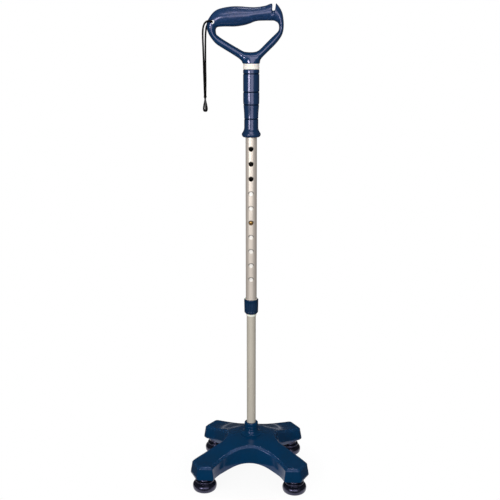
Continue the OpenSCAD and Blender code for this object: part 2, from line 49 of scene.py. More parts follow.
STRAP_AT = (-62, 795.5)
STRAP_HOLE = 7
FEET = {
    "front_left": (-79, -69.5),
    "front_right": (79, -69.5),
    "rear_left": (-70.5, 69.5),
    "rear_right": (70.5, 69.5),
}
Place = tuple[float, float, float]


class Body(Enum):
    """Bodies of the motion model that carry a piece."""

    BASE = "base"
    UPPER = "upper"
    COLLAR = "collar"


class Slot(Enum):
    """Material slots of the pieces."""

    BASE = "base_polymer"
    FOOT = "foot_rubber"
    NYLON = "white_nylon"
    COLLAR = "collar_polymer"
    GRIP = "grip_polymer"
    HANDLE = "handle_polymer"
    CORD = "cord_textile"
    CORD_END = "cord_end_polymer"


# Shapes


@dataclass
class Shape:
    """A closed surface.

    Args:
        points: one row of x, y and z for each point, in millimetres.
        faces: arrays of point numbers, one array for each number of corners.
        wear_and_shade: how much each point is rubbed in use, up to 1, or how much shade is painted on it,
            down
        to -1, or None for neither.
    """

    points: np.ndarray
    faces: list[np.ndarray]
    wear_and_shade: np.ndarray | None = None

    def outward(self) -> "Shape":
        """Turns the faces over if the surface is inside out.

        Six times its volume is the sum, over its triangles, of one corner dotted with the cross of the other
        two. It is below zero when the faces look inwards.

        Returns:
            The shape itself, with every face looking outwards.
        """
        volume = 0.0
        for block in self.faces:
            a, b = self.points[block[:, 0]], self.points[block[:, 1]]
            for k in range(2, block.shape[1]):
                c = self.points[block[:, k]]
                volume += float(np.einsum("ij,ij->", a, np.cross(b, c)))
                b = c
        if volume < 0:
            self.faces = [block[:, ::-1] for block in self.faces]
        return self


def ring_faces(rings: int, count: int, closed: bool) -> np.ndarray:
    """Quads of a grid of rings.

    A quad joins two neighbours of one ring to the same two of the next. Point j of ring i has the number
    i * count + j.

    Args:
        rings: number of rings.
        count: points in each ring.
        closed: whether the last ring joins the first.

    Returns:
        Point numbers, one row of four for each quad.
    """
    i = np.arange(rings if closed else rings - 1)[:, None]
    j = np.arange(count)[None, :]
    k, step = (i + 1) % rings, (j + 1) % count
    corners = (i * count + j, i * count + step, k * count + step, k * count + j)
    return np.stack([c.ravel() for c in np.broadcast_arrays(*corners)], axis=1)


def rounded(points: list[tuple[float, ...]], radius: float | list[float], steps: int = 6) -> np.ndarray:
    """Rounds the corners of an open line.

    Each corner becomes the parabola that leaves one side and joins the other, with the corner as its control
    point.

    Args:
        points: corners of the line.
        radius: how far from a corner its rounding starts, one value or one for each corner.
        steps: points in each rounding, less one.

    Returns:
        The points of the rounded line.
    """
    p = np.asarray(points, float)
    reach = np.broadcast_to(np.asarray(radius, float), (len(p),))
    t = np.linspace(0, 1, steps + 1)[:, None]
    line = [p[:1]]
    for before, corner, after, r in zip(p[:-2], p[1:-1], p[2:], reach[1:-1]):
        back, on = before - corner, after - corner
        long_back, long_on = np.linalg.norm(back), np.linalg.norm(on)
        a = corner + back / long_back * min(r, 0.48 * long_back)
        b = corner + on / long_on * min(r, 0.48 * long_on)
        line.append((1 - t) ** 2 * a + 2 * t * (1 - t) * corner + t * t * b)
    return np.concatenate(line + [p[-1:]])


def revolved(profile: np.ndarray, turns: int = 96, at: tuple[float, float] = (0, 0)) -> Shape:
    """Turns a profile about an upright axis.

    x and y are the radius times the cosine and the sine of the turn, and z is the height.

    Args:
        profile: radius and height of each point, either with both ends on the axis or as a closed loop.
        turns: points in each ring.
        at: where the axis stands.

    Returns:
        The closed shape.
    """
    a = np.linspace(0, 2 * np.pi, turns, endpoint=False)
    on_axis = profile[0, 0] < 1e-6 and profile[-1, 0] < 1e-6
    body = profile[1:-1] if on_axis else profile
    x, y = at[0] + body[:, :1] * np.cos(a), at[1] + body[:, :1] * np.sin(a)
    points = np.stack([x, y, np.broadcast_to(body[:, 1:], x.shape)], axis=2).reshape(-1, 3)
    faces = [ring_faces(len(body), turns, not on_axis)]
    if on_axis:
        first, last = len(points), len(points) + 1
        points = np.concatenate([points, [[*at, profile[0, 1]], [*at, profile[-1, 1]]]])
        j = np.arange(turns)
        step, top = (j + 1) % turns, (len(body) - 1) * turns
        faces.append(np.stack([np.full(turns, first), step, j], axis=1))
        faces.append(np.stack([np.full(turns, last), top + j, top + step], axis=1))
    return Shape(points, faces).outward()


def smooth_curve(points: np.ndarray, steps: int, closed: bool) -> np.ndarray:
    """Fills in a line so that it passes smoothly through its points.

    Each stretch is a cubic whose slope at either end is half the step between the points on both sides of
    that end.

    Args:
        points: the points to pass through.
        steps: new points for each stretch.
        closed: whether the line comes back to its start.

    Returns:
        The filled-in line.
    """
    p = np.asarray(points, float)
    n = len(p)
    i = np.arange(n if closed else n - 1)

    def pick(k: np.ndarray) -> np.ndarray:
        """Points by number, which go round on a closed line and stop at the ends of an open one."""
        return p[k % n if closed else np.clip(k, 0, n - 1)][:, None, :]

    a, b, c, d = pick(i - 1), pick(i), pick(i + 1), pick(i + 2)
    t = (np.arange(steps) / steps)[None, :, None]
    q = 0.5 * (2 * b + t * (c - a) + t**2 * (2 * a - 5 * b + 4 * c - d) + t**3 * (3 * b - a - 3 * c + d))
    line = q.reshape(-1, p.shape[1])
    return line if closed else np.concatenate([line, p[-1:]])


def swept(path: np.ndarray, diameter: float, sides: int = 16) -> Shape:
    """A round tube along a line, closed at both ends.

    Each ring keeps the last ring's side direction less its part along the line, so that the tube doesn't
    twist.

    Args:
        path: points of the line.
        diameter: the tube's diameter.
        sides: points in each ring.

    Returns:
        The closed shape.
    """
    along = np.gradient(path, axis=0)
    along /= np.linalg.norm(along, axis=1, keepdims=True)
    side = np.empty_like(path)
    last = np.array([1.0, 0.2, 0.0])
    for i, t in enumerate(along):
        last = last - (last @ t) * t
        last /= np.linalg.norm(last)
        side[i] = last
    other = np.cross(along, side)
    a = np.linspace(0, 2 * np.pi, sides, endpoint=False)[None, :, None]
    rings = path[:, None, :] + diameter / 2 * (np.cos(a) * side[:, None, :] + np.sin(a) * other[:, None, :])
    points = np.concatenate([rings.reshape(-1, 3), path[:1], path[-1:]])
    n, j = len(path) * sides, np.arange(sides)
    step, top = (j + 1) % sides, n - sides
    start = np.stack([np.full(sides, n), step, j], axis=1)
    end = np.stack([np.full(sides, n + 1), top + j, top + step], axis=1)
    return Shape(points, [ring_faces(len(path), sides, False), start, end]).outward()


def make_piece(name: str, shapes: list[Shape], sharp: float = 40) -> bpy.types.Object:
    """Puts shapes into one object.

    Args:
        name: the object's name.
        shapes: the surfaces it holds.
        sharp: edges that bend by more than this, in degrees, stay sharp.

    Returns:
        The new object, in place at the origin.
    """
    first = np.cumsum([0] + [len(s.points) for s in shapes])
    blocks = [block + first[i] for i, s in enumerate(shapes) for block in s.faces]
    sizes = np.concatenate([np.full(len(b), b.shape[1]) for b in blocks])
    mesh = bpy.data.meshes.new(name)
    mesh.vertices.add(int(first[-1]))
    points = np.concatenate([s.points for s in shapes]).astype(np.float32)
    mesh.vertices.foreach_set("co", points.ravel() * MM)
    mesh.loops.add(int(sizes.sum()))
    mesh.loops.foreach_set("vertex_index", np.concatenate([b.ravel() for b in blocks]).astype(np.int32))
    mesh.polygons.add(len(sizes))
    mesh.polygons.foreach_set("loop_start", np.concatenate([[0], np.cumsum(sizes)[:-1]]).astype(np.int32))
    mesh.polygons.foreach_set("use_smooth", np.ones(len(sizes), bool))
    wear_and_shade = [np.zeros(len(s.points)) if s.wear_and_shade is None else s.wear_and_shade for s in shapes]
    values = np.concatenate(wear_and_shade).astype(np.float32)
    mesh.attributes.new("wear_and_shade", "FLOAT", "POINT").data.foreach_set("value", values)
    mesh.update(calc_edges=True)
    mesh.validate()
    mesh.set_sharp_from_angle(angle=math.radians(sharp))
    piece = bpy.data.objects.new(name, mesh)
    bpy.context.scene.collection.objects.link(piece)
    return piece


def applied(piece: bpy.types.Object) -> bpy.types.Object:
    """Makes a piece's modifiers part of its mesh.

    Args:
        piece: the object.

    Returns:
        The same object with no modifiers.
    """
    graph = bpy.context.evaluated_depsgraph_get()
    mesh = bpy.data.meshes.new_from_object(piece.evaluated_get(graph))
    piece.modifiers.clear()
    old, piece.data = piece.data, mesh
    bpy.data.meshes.remove(old)
    return piece


def place(
    piece: bpy.types.Object, body: Body, slot: Slot, material: bpy.types.Material, *nodes: str
) -> bpy.types.Object:
    """Dresses a piece and ties it to the frame.

    Args:
        piece: the object.
        body: what it moves with.
        slot: the record's material slot; not used.
        material: its material.
        nodes: the CAD nodes that it stands for.

    Returns:
        The same object.
    """
    piece.data.materials.clear()
    piece.data.materials.append(material)
    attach(piece, body.value)
    if nodes:
        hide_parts(*nodes)
    LOG.info("placed %s on %s", piece.name, body.value)
    return piece


def dress_node(name: str, material: bpy.types.Material) -> None:
    """Gives a CAD node that stays in view a better material.

    Args:
        name: the node's name.
        material: its material.
    """
    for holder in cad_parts[name].material_slots:
        holder.material = material
    LOG.info("dressed %s", name)


# Materials


def srgb(code: str) -> tuple[float, float, float, float]:
    """Colour for a shader from a hex code.

    Args:
        code: sRGB colour, such as "#12284f".

    Returns:
        Linear red, green and blue, and an alpha of 1.
    """
    parts = (int(code[i : i + 2], 16) / 255 for i in (1, 3, 5))
    r, g, b = (c / 12.92 if c <= 0.04045 else ((c + 0.055) / 1.055) ** 2.4 for c in parts)
    return r, g, b, 1.0


class Nodes:
    """A node tree in the making."""

    def __init__(self, tree: bpy.types.NodeTree) -> None:
        """Starts from a tree.

        Args:
            tree: the tree to add to.
        """
        self.tree = tree

    def node(self, kind: str, settings: dict[str, object] | None = None, **inputs: object) -> bpy.types.Node:
        """Adds a node.

        Args:
            kind: the node's type.
            settings: its own properties.
            inputs: values or sockets for its inputs, by name with _ for spaces or by number after "i".

        Returns:
            The new node.
        """
        made = self.tree.nodes.new(kind)
        for key, value in (settings or {}).items():
            setattr(made, key, value)
        for key, value in inputs.items():
            number = key[1:] if key[0] == "i" and key[1:].isdigit() else None
            socket = made.inputs[int(number)] if number else made.inputs[key.replace("_", " ")]
            self.feed(socket, value)
        return made

    def feed(self, socket: bpy.types.NodeSocket, value: object) -> None:
        """Links a socket or sets its value.

        Args:
            socket: the input.
            value: another node's output, or a constant.
        """
        if isinstance(value, bpy.types.NodeSocket):
            self.tree.links.new(value, socket)
        else:
            socket.default_value = value

    def ramp(
        self, value: bpy.types.NodeSocket, low: float, high: float, a: float, b: float
    ) -> bpy.types.NodeSocket:
        """Maps a range of values to another.

        Args:
            value: the input.
            low: input that gives a.
            high: input that gives b.
            a: first output.
            b: second output.

        Returns:
            The mapped value.
        """
        return self.node("ShaderNodeMapRange", i0=value, i1=low, i2=high, i3=a, i4=b).outputs[0]

    def math(self, operation: str, a: object, b: object) -> bpy.types.NodeSocket:
        """Works out one value from two.

        Args:
            operation: Blender's name of the operation.
            a: first value.
            b: second value.

        Returns:
            The result.
        """
        return self.node("ShaderNodeMath", {"operation": operation}, i0=a, i1=b).outputs[0]


class Shader(Nodes):
    """A material in the making."""

    def __init__(self, name: str) -> None:
        """Starts a material with one Principled shader.

        Args:
            name: the material's name.
        """
        self.material = bpy.data.materials.new(name)
        self.material.use_nodes = True
        super().__init__(self.material.node_tree)
        self.shader = self.tree.nodes["Principled BSDF"]
        self.place = self.node("ShaderNodeTexCoord").outputs["Object"]

    def surface(self, **inputs: object) -> bpy.types.Material:
        """Sets the Principled shader's inputs.

        Args:
            inputs: values or sockets by name, with _ for spaces.

        Returns:
            The finished material.
        """
        for key, value in inputs.items():
            self.feed(self.shader.inputs[key.replace("_", " ")], value)
        return self.material

    def grain(
        self, size: float, stretch: tuple[float, float, float] = (1, 1, 1), detail: float = 3
    ) -> bpy.types.NodeSocket:
        """Noise of a real size.

        Args:
            size: width of a blotch in millimetres.
            stretch: how much narrower it is along each axis.
            detail: octaves of finer noise.

        Returns:
            The noise, from 0 to 1.
        """
        spread = self.node("ShaderNodeMapping", i0=self.place, Scale=stretch).outputs[0]
        made = self.node("ShaderNodeTexNoise", Vector=spread, Scale=1 / (size * MM), Detail=detail)
        return made.outputs["Fac"]

    def mix(self, share: object, a: object, b: object) -> bpy.types.NodeSocket:
        """Mixes two colours.

        Args:
            share: how much of b shows.
            a: first colour.
            b: second colour.

        Returns:
            The mixed colour.
        """
        made = self.node("ShaderNodeMix", {"data_type": "RGBA"})
        for socket, value in zip((made.inputs[0], made.inputs[6], made.inputs[7]), (share, a, b)):
            self.feed(socket, value)
        return made.outputs[2]

    def bump(self, height: bpy.types.NodeSocket, depth: float, strength: float = 1.0) -> bpy.types.NodeSocket:
        """Bump from a height.

        Args:
            height: height from 0 to 1.
            depth: depth of the relief in millimetres.
            strength: how strongly it shows.

        Returns:
            The bent normal.
        """
        made = self.node("ShaderNodeBump", Height=height, Strength=strength, Distance=depth * MM)
        return made.outputs["Normal"]

    def wear_and_shade(self) -> bpy.types.NodeSocket:
        """Rubbing and painted shade stored on the mesh.

        Returns:
            The rubbing, up to 1, or the painted shade, down to -1.
        """
        return self.node("ShaderNodeAttribute", {"attribute_name": "wear_and_shade"}).outputs["Fac"]


@dataclass(frozen=True)
class Plastic:
    """Moulded plastic: deep colour, a soft gloss, a faint ripple and paler rubbed edges."""

    name: str
    colour: str
    shade: str
    rubbed: str
    roughness: float = 0.28
    gloss: float = 0.5
    sheen: str = "#e6deff"

    def make(self) -> bpy.types.Material:
        """Builds the material.

        Returns:
            The material.
        """
        s = Shader(self.name)
        # Slow drift of the pigment between two depths of the same colour
        tone = s.mix(s.ramp(s.grain(35), 0.35, 0.65, 0, 1), srgb(self.colour), srgb(self.shade))
        # Pale rubbing along the edges, broken up by fine scratches
        scuffs = s.ramp(s.grain(2.5, detail=6), 0.45, 0.7, 0, 0.3)
        wear_and_shade = s.wear_and_shade()
        rub = s.math("MULTIPLY", s.ramp(wear_and_shade, 0, 1, 0, 1), scuffs)
        # Painted shade darkens the grooves
        painted_shade_tone = s.mix(s.ramp(wear_and_shade, -1, 0, 0.9, 0), tone, srgb("#010205"))
        # Handling leaves patches that are a little duller
        patches = s.ramp(s.grain(9), 0.3, 0.7, self.roughness - 0.04, self.roughness + 0.05)
        dull = s.math("ADD", patches, s.ramp(wear_and_shade, 0, 1, 0, 0.14))
        ripple = s.bump(s.grain(1.6, detail=2), 0.02, 0.15)
        return s.surface(
            Base_Color=s.mix(rub, painted_shade_tone, srgb(self.rubbed)),
            Roughness=dull,
            Normal=ripple,
            Specular_IOR_Level=s.ramp(wear_and_shade, -1, 0, 0.05, self.gloss),
            Specular_Tint=srgb(self.sheen),
        )


@dataclass(frozen=True)
class Aluminium:
    """Anodised tube: satin metal with faint drawing lines along it and cloudy tone."""

    name: str
    colour: str
    shade: str
    roughness: float = 0.42
    metal: float = 0.55
    top_hole: float = 0
    pitch: float = 25
    holes: int = 10
    hole: float = 7.8
    bore: float = 16.6
    painted_light_from: float = 0

    def painted_rim_shade(self, s: Shader) -> bpy.types.NodeSocket:
        """Where shade is painted along the upper rims of the holes.

        The height is folded to one pitch, so that one ring about its middle serves every hole.

        Args:
            s: the material in the making.

        Returns:
            1 on a rim's upper half, falling to 0 within a millimetre and below it.
        """
        at = s.node("ShaderNodeSeparateXYZ", i0=s.place).outputs
        down = s.math("SUBTRACT", (self.top_hole + self.pitch / 2) * MM, at["Z"])
        above = s.math("SUBTRACT", self.pitch / 2 * MM, s.math("FLOORED_MODULO", down, self.pitch * MM))
        offset = s.node("ShaderNodeCombineXYZ", i0=at["X"], i1=above).outputs[0]
        reach = s.node("ShaderNodeVectorMath", {"operation": "LENGTH"}, i0=offset).outputs["Value"]
        edge = s.ramp(reach, (self.hole / 2 + 0.1) * MM, (self.hole / 2 + 1.6) * MM, 1, 0)
        front = s.math("MULTIPLY", s.math("LESS_THAN", at["Y"], 0.0), s.ramp(above, -MM, 2 * MM, 0, 1))
        half_row = self.holes / 2 * self.pitch * MM
        drilled = s.math("LESS_THAN", s.math("ABSOLUTE", s.math("SUBTRACT", down, half_row), 0.0), half_row)
        return s.math("MULTIPLY", s.math("MULTIPLY", edge, front), drilled)

    def make(self) -> bpy.types.Material:
        """Builds the material.

        Returns:
            The material.
        """
        s = Shader(self.name)
        # Lines left by drawing the tube, fine round it and long down it, coarser than real so that they show
        lines = s.grain(0.5, (1, 1, 0.012), 2)
        cloud = s.ramp(s.grain(28, (1, 1, 0.35)), 0.3, 0.7, 0, 0.7)
        tone = s.mix(cloud, srgb(self.colour), srgb(self.shade))
        if self.top_hole:
            # Painted shade: a dark arc along the upper rim of each hole, where the rim would cast its shadow
            tone = s.mix(self.painted_rim_shade(s), tone, srgb("#2b2620"))
            # Painted shade darkens the bore, as shade falls inside the tube
            flat = s.node("ShaderNodeVectorMath", {"operation": "MULTIPLY"}, i0=s.place, i1=(1, 1, 0))
            away = s.node("ShaderNodeVectorMath", {"operation": "LENGTH"}, i0=flat.outputs[0])
            wall = self.bore / 2
            inside = s.ramp(away.outputs["Value"], wall * MM, (wall + 0.3) * MM, 1, 0)
            tone = s.mix(inside, tone, srgb("#14120f"))
        if self.painted_light_from:
            # The stretch that stays inside the outer tube is painted paler, a painted highlight where it
            # shows through the holes
            height = s.node("ShaderNodeSeparateXYZ", i0=s.place).outputs["Z"]
            tone = s.mix(s.ramp(height, self.painted_light_from * MM, (self.painted_light_from + 25) * MM, 0, 1), tone, srgb("#f6f2ec"))
        return s.surface(
            Base_Color=tone,
            Metallic=self.metal,
            Roughness=s.ramp(lines, 0.3, 0.7, self.roughness - 0.06, self.roughness + 0.08),
            Normal=s.bump(lines, 0.006, 0.25),
        )


@dataclass(frozen=True)
class Rubber:
    """Moulded rubber: near black, satin, a little dusty in patches."""

    name: str
    colour: str
    dust: str
    roughness: float = 0.26
    sheen: str = "#cfcaff"

    def make(self) -> bpy.types.Material:
        """Builds the material.

        Returns:
            The material.
        """
        s = Shader(self.name)
        dusty = s.ramp(s.grain(6, detail=5), 0.5, 0.75, 0, 0.5)
        return s.surface(
            Base_Color=s.mix(dusty, srgb(self.colour), srgb(self.dust)),
            Roughness=s.ramp(dusty, 0, 0.5, self.roughness, self.roughness + 0.25),
            Normal=s.bump(s.grain(0.7), 0.04, 0.4),
            Specular_IOR_Level=1.0,
            Specular_Tint=srgb(self.sheen),
        )


@dataclass(frozen=True)
class Nylon:
    """Off-white nylon: satin, with a warm drift of tone and light passing into it."""

    name: str
    colour: str
    shade: str

    def make(self) -> bpy.types.Material:
        """Builds the material.

        Returns:
            The material.
        """
        s = Shader(self.name)
        warm = s.ramp(s.grain(7), 0.35, 0.65, 0, 1)
        return s.surface(
            Base_Color=s.mix(warm, srgb(self.colour), srgb(self.shade)),
            Roughness=s.ramp(warm, 0, 1, 0.38, 0.5),
            Normal=s.bump(s.grain(0.8), 0.02, 0.3),
            Subsurface_Weight=0.15,
            Subsurface_Scale=0.002,
        )


@dataclass(frozen=True)
class Metal:
    """Turned or plated metal: a coloured sheen with fine marks and darker tarnish."""

    name: str
    colour: str
    tarnish: str
    roughness: float = 0.3

    def make(self) -> bpy.types.Material:
        """Builds the material.

        Returns:
            The material.
        """
        s = Shader(self.name)
        spots = s.ramp(s.grain(1.4, detail=5), 0.42, 0.7, 0, 0.8)
        return s.surface(
            Base_Color=s.mix(spots, srgb(self.colour), srgb(self.tarnish)),
            Metallic=1.0,
            Roughness=s.ramp(spots, 0, 0.8, self.roughness, self.roughness + 0.2),
            Normal=s.bump(s.grain(0.3), 0.01, 0.4),
        )


@dataclass(frozen=True)
class Braid:
    """Braided cord: black yarn in a fine diagonal plait, dull with a faint sheen."""

    name: str
    colour: str
    yarn: str
    pitch: float = 1.3
    wave: float = 0.31

    def make(self) -> bpy.types.Material:
        """Builds the material.

        Returns:
            The material.
        """
        s = Shader(self.name)
        # Two sets of waves cross; Blender's wave repeats after 0.31 m at a scale of 1
        waves = []
        for tilt in (0.7, -0.7):
            turned = s.node("ShaderNodeMapping", i0=s.place, Rotation=(0, tilt, 0)).outputs[0]
            scale = self.wave / (self.pitch * MM)
            wave = s.node("ShaderNodeTexWave", Vector=turned, Scale=scale, Distortion=0.6)
            waves.append(wave.outputs["Fac"])
        plait = s.math("MAXIMUM", waves[0], waves[1])
        fuzz = s.ramp(s.grain(0.6, detail=4), 0.4, 0.7, 0, 0.5)
        yarn = s.math("MULTIPLY", plait, fuzz)
        return s.surface(
            Base_Color=s.mix(yarn, srgb(self.colour), srgb(self.yarn)),
            Roughness=s.ramp(plait, 0, 1, 0.85, 0.6),
            Normal=s.bump(plait, 0.25, 0.8),
            Specular_IOR_Level=0.1,
        )


@dataclass(frozen=True)
class Palette:
    """Every finish of the cane."""

    base: Plastic = Plastic("blue_base_plastic", "#002f52", "#022d4c", "#35557f", 0.12, 0.5, "#d4d0ff")
    handle: Plastic = Plastic("blue_handle_plastic", "#093257", "#082c50", "#3d5590", 0.15, 1.0)
    grip: Plastic = Plastic("blue_grip_plastic", "#0d2f52", "#0b2a4a", "#3d5590", 0.22, 1.0)
    collar: Plastic = Plastic("blue_collar_plastic", "#032947", "#02223b", "#35557f", 0.22, 0.6)
    bell: Plastic = Plastic("black_bell_plastic", "#0c0b0d", "#121114", "#3a383c", 0.22, 0.6, "#ffffff")
    upper_tube: Aluminium = Aluminium("silver_anodised_tube", "#e6dbd0", "#ddd2c6", top_hole=592.5)
    lower_tube: Aluminium = Aluminium("beige_anodised_tube", "#d2cbbd", "#c9c2b3", metal=0.3, painted_light_from=335)
    foot: Rubber = Rubber("black_foot_rubber", "#080d15", "#171a22")
    nylon: Nylon = Nylon("white_nylon", "#f4f1ea", "#ece6da")
    brass: Metal = Metal("brass_button", "#b08a52", "#6e5330")
    steel: Metal = Metal("zinc_plated_steel", "#b9bcc0", "#8b8e93")
    spring: Metal = Metal("spring_steel", "#a9adb2", "#74787d")
    cord: Braid = Braid("black_braid", "#0a0908", "#1d1a18")


# Pieces


@dataclass
class WristCord:
    """Black cord through the strap hole: two strands, their knot and the bell over their ends."""

    strap: tuple[float, float] = STRAP_AT
    hole: float = STRAP_HOLE
    diameter: float = 3
    gap: float = 0.25
    rest_way: tuple[float, float] = (-0.94, 0.3)
    knot_side: float = -13.9
    knot_drop: float = 118
    knot_radius: float = 2.6
    bell_neck: float = 3.5
    bell_length: float = 18.5
    steps: int = 8

    def strands(self) -> list[np.ndarray]:
        """Lines of the two strands, each from the middle of the strap hole down to the knot.

        Each is a smooth curve through points measured from the middle of the hole, and starts against its
        wall.

        Returns:
            The rear strand and the front strand.
        """
        seat = (self.hole - self.diameter) / 2 - self.gap
        rest = (self.rest_way[0] * seat, self.rest_way[1] * seat)
        rear = [
            (rest[0], 0, rest[1]), (rest[0], 4.5, rest[1]), (-1.7, 8, 0.55), (-2.5, 10.4, 0.75),
            (-3.8, 12.6, 0.85), (-5.65, 14.2, 0.55), (-8.15, 15, -0.85), (-10.3, 14.7, -3.55),
            (-11.8, 13.55, -7.65), (-12.55, 11.65, -13.3), (-12.85, 9.1, -20.3), (-12.9, 6.2, -29.9),
            (-12.8, 3.3, -44.6), (-12.8, 1.35, -67.5), (-12.8, 1.2, -91.5), (-13.4, 1.5, -116.5),
        ]
        front = [
            (rest[0], 0, rest[1]), (rest[0], -4.5, rest[1]), (-1.7, -8, 0.55), (-2.45, -10.4, 0.75),
            (-3.6, -12.6, 0.95), (-5.35, -14.4, 0.95), (-8, -15.5, 0.3), (-10.8, -15.5, -1.75),
            (-13.05, -14.5, -5.45), (-14.6, -12.55, -10.95), (-15.4, -9.95, -17.9), (-15.7, -6.8, -27.4),
            (-15.65, -3.6, -42), (-15.4, -1.45, -65), (-15.1, -1.2, -89), (-14.4, -1.5, -116.5),
        ]
        start = np.array([self.strap[0], 0, self.strap[1]])
        return [smooth_curve(np.array(line), self.steps, False) + start for line in (rear, front)]

    def build(self, look: Palette) -> None:
        """Makes the cord's pieces.

        Args:
            look: the finishes.
        """
        braid = look.cord.make()
        x, z = self.strap[0] + self.knot_side, self.strap[1] - self.knot_drop
        a = np.linspace(-90, 90, 25) * np.pi / 180
        ball = np.stack([self.knot_radius * np.cos(a), z + self.knot_radius * np.sin(a)], axis=1)
        knot = revolved(ball, 40, (x, 0))
        knot.points[:, 1] += np.clip(knot.points[:, 1] * 2, -1.9, 1.9)
        # Two shallow waists show the turns of the knot
        turn = np.sin((knot.points[:, 2] - z) / self.knot_radius * 4 + knot.points[:, 1] * 0.5)
        knot.points[:, 0] = x + (knot.points[:, 0] - x) * (0.94 + 0.06 * turn)
        knot_piece = place(make_piece("knot", [knot]), Body.UPPER, Slot.CORD, braid, "cord_knot")
        end = self.bell_length
        foot = z - self.knot_radius - self.bell_neck - end
        profile = [
            (0, 0), (1.8, 0.15), (3.2, 1.2), (4, 3.2), (4.2, 5.5), (3.9, 8.2), (3.3, 11.5), (2.6, 14.5),
            (1.9, end - 0.6),
        ]
        neck = [(1.6, end), (1.6, end + self.bell_neck + 1), (0, end + self.bell_neck + 1)]
        bell = rounded([(r, foot + h) for r, h in profile + neck], 1.1, 5)
        bell_piece = make_piece("bell", [revolved(bell, 48, (x, 0))])
        place(bell_piece, Body.UPPER, Slot.CORD_END, look.bell.make(), "cord_end")
        for name, line in zip(("cord_rear", "cord_front"), self.strands()):
            strand = make_piece(name, [swept(line, self.diameter)])
            place(strand, Body.UPPER, Slot.CORD, braid, "wrist_cord")


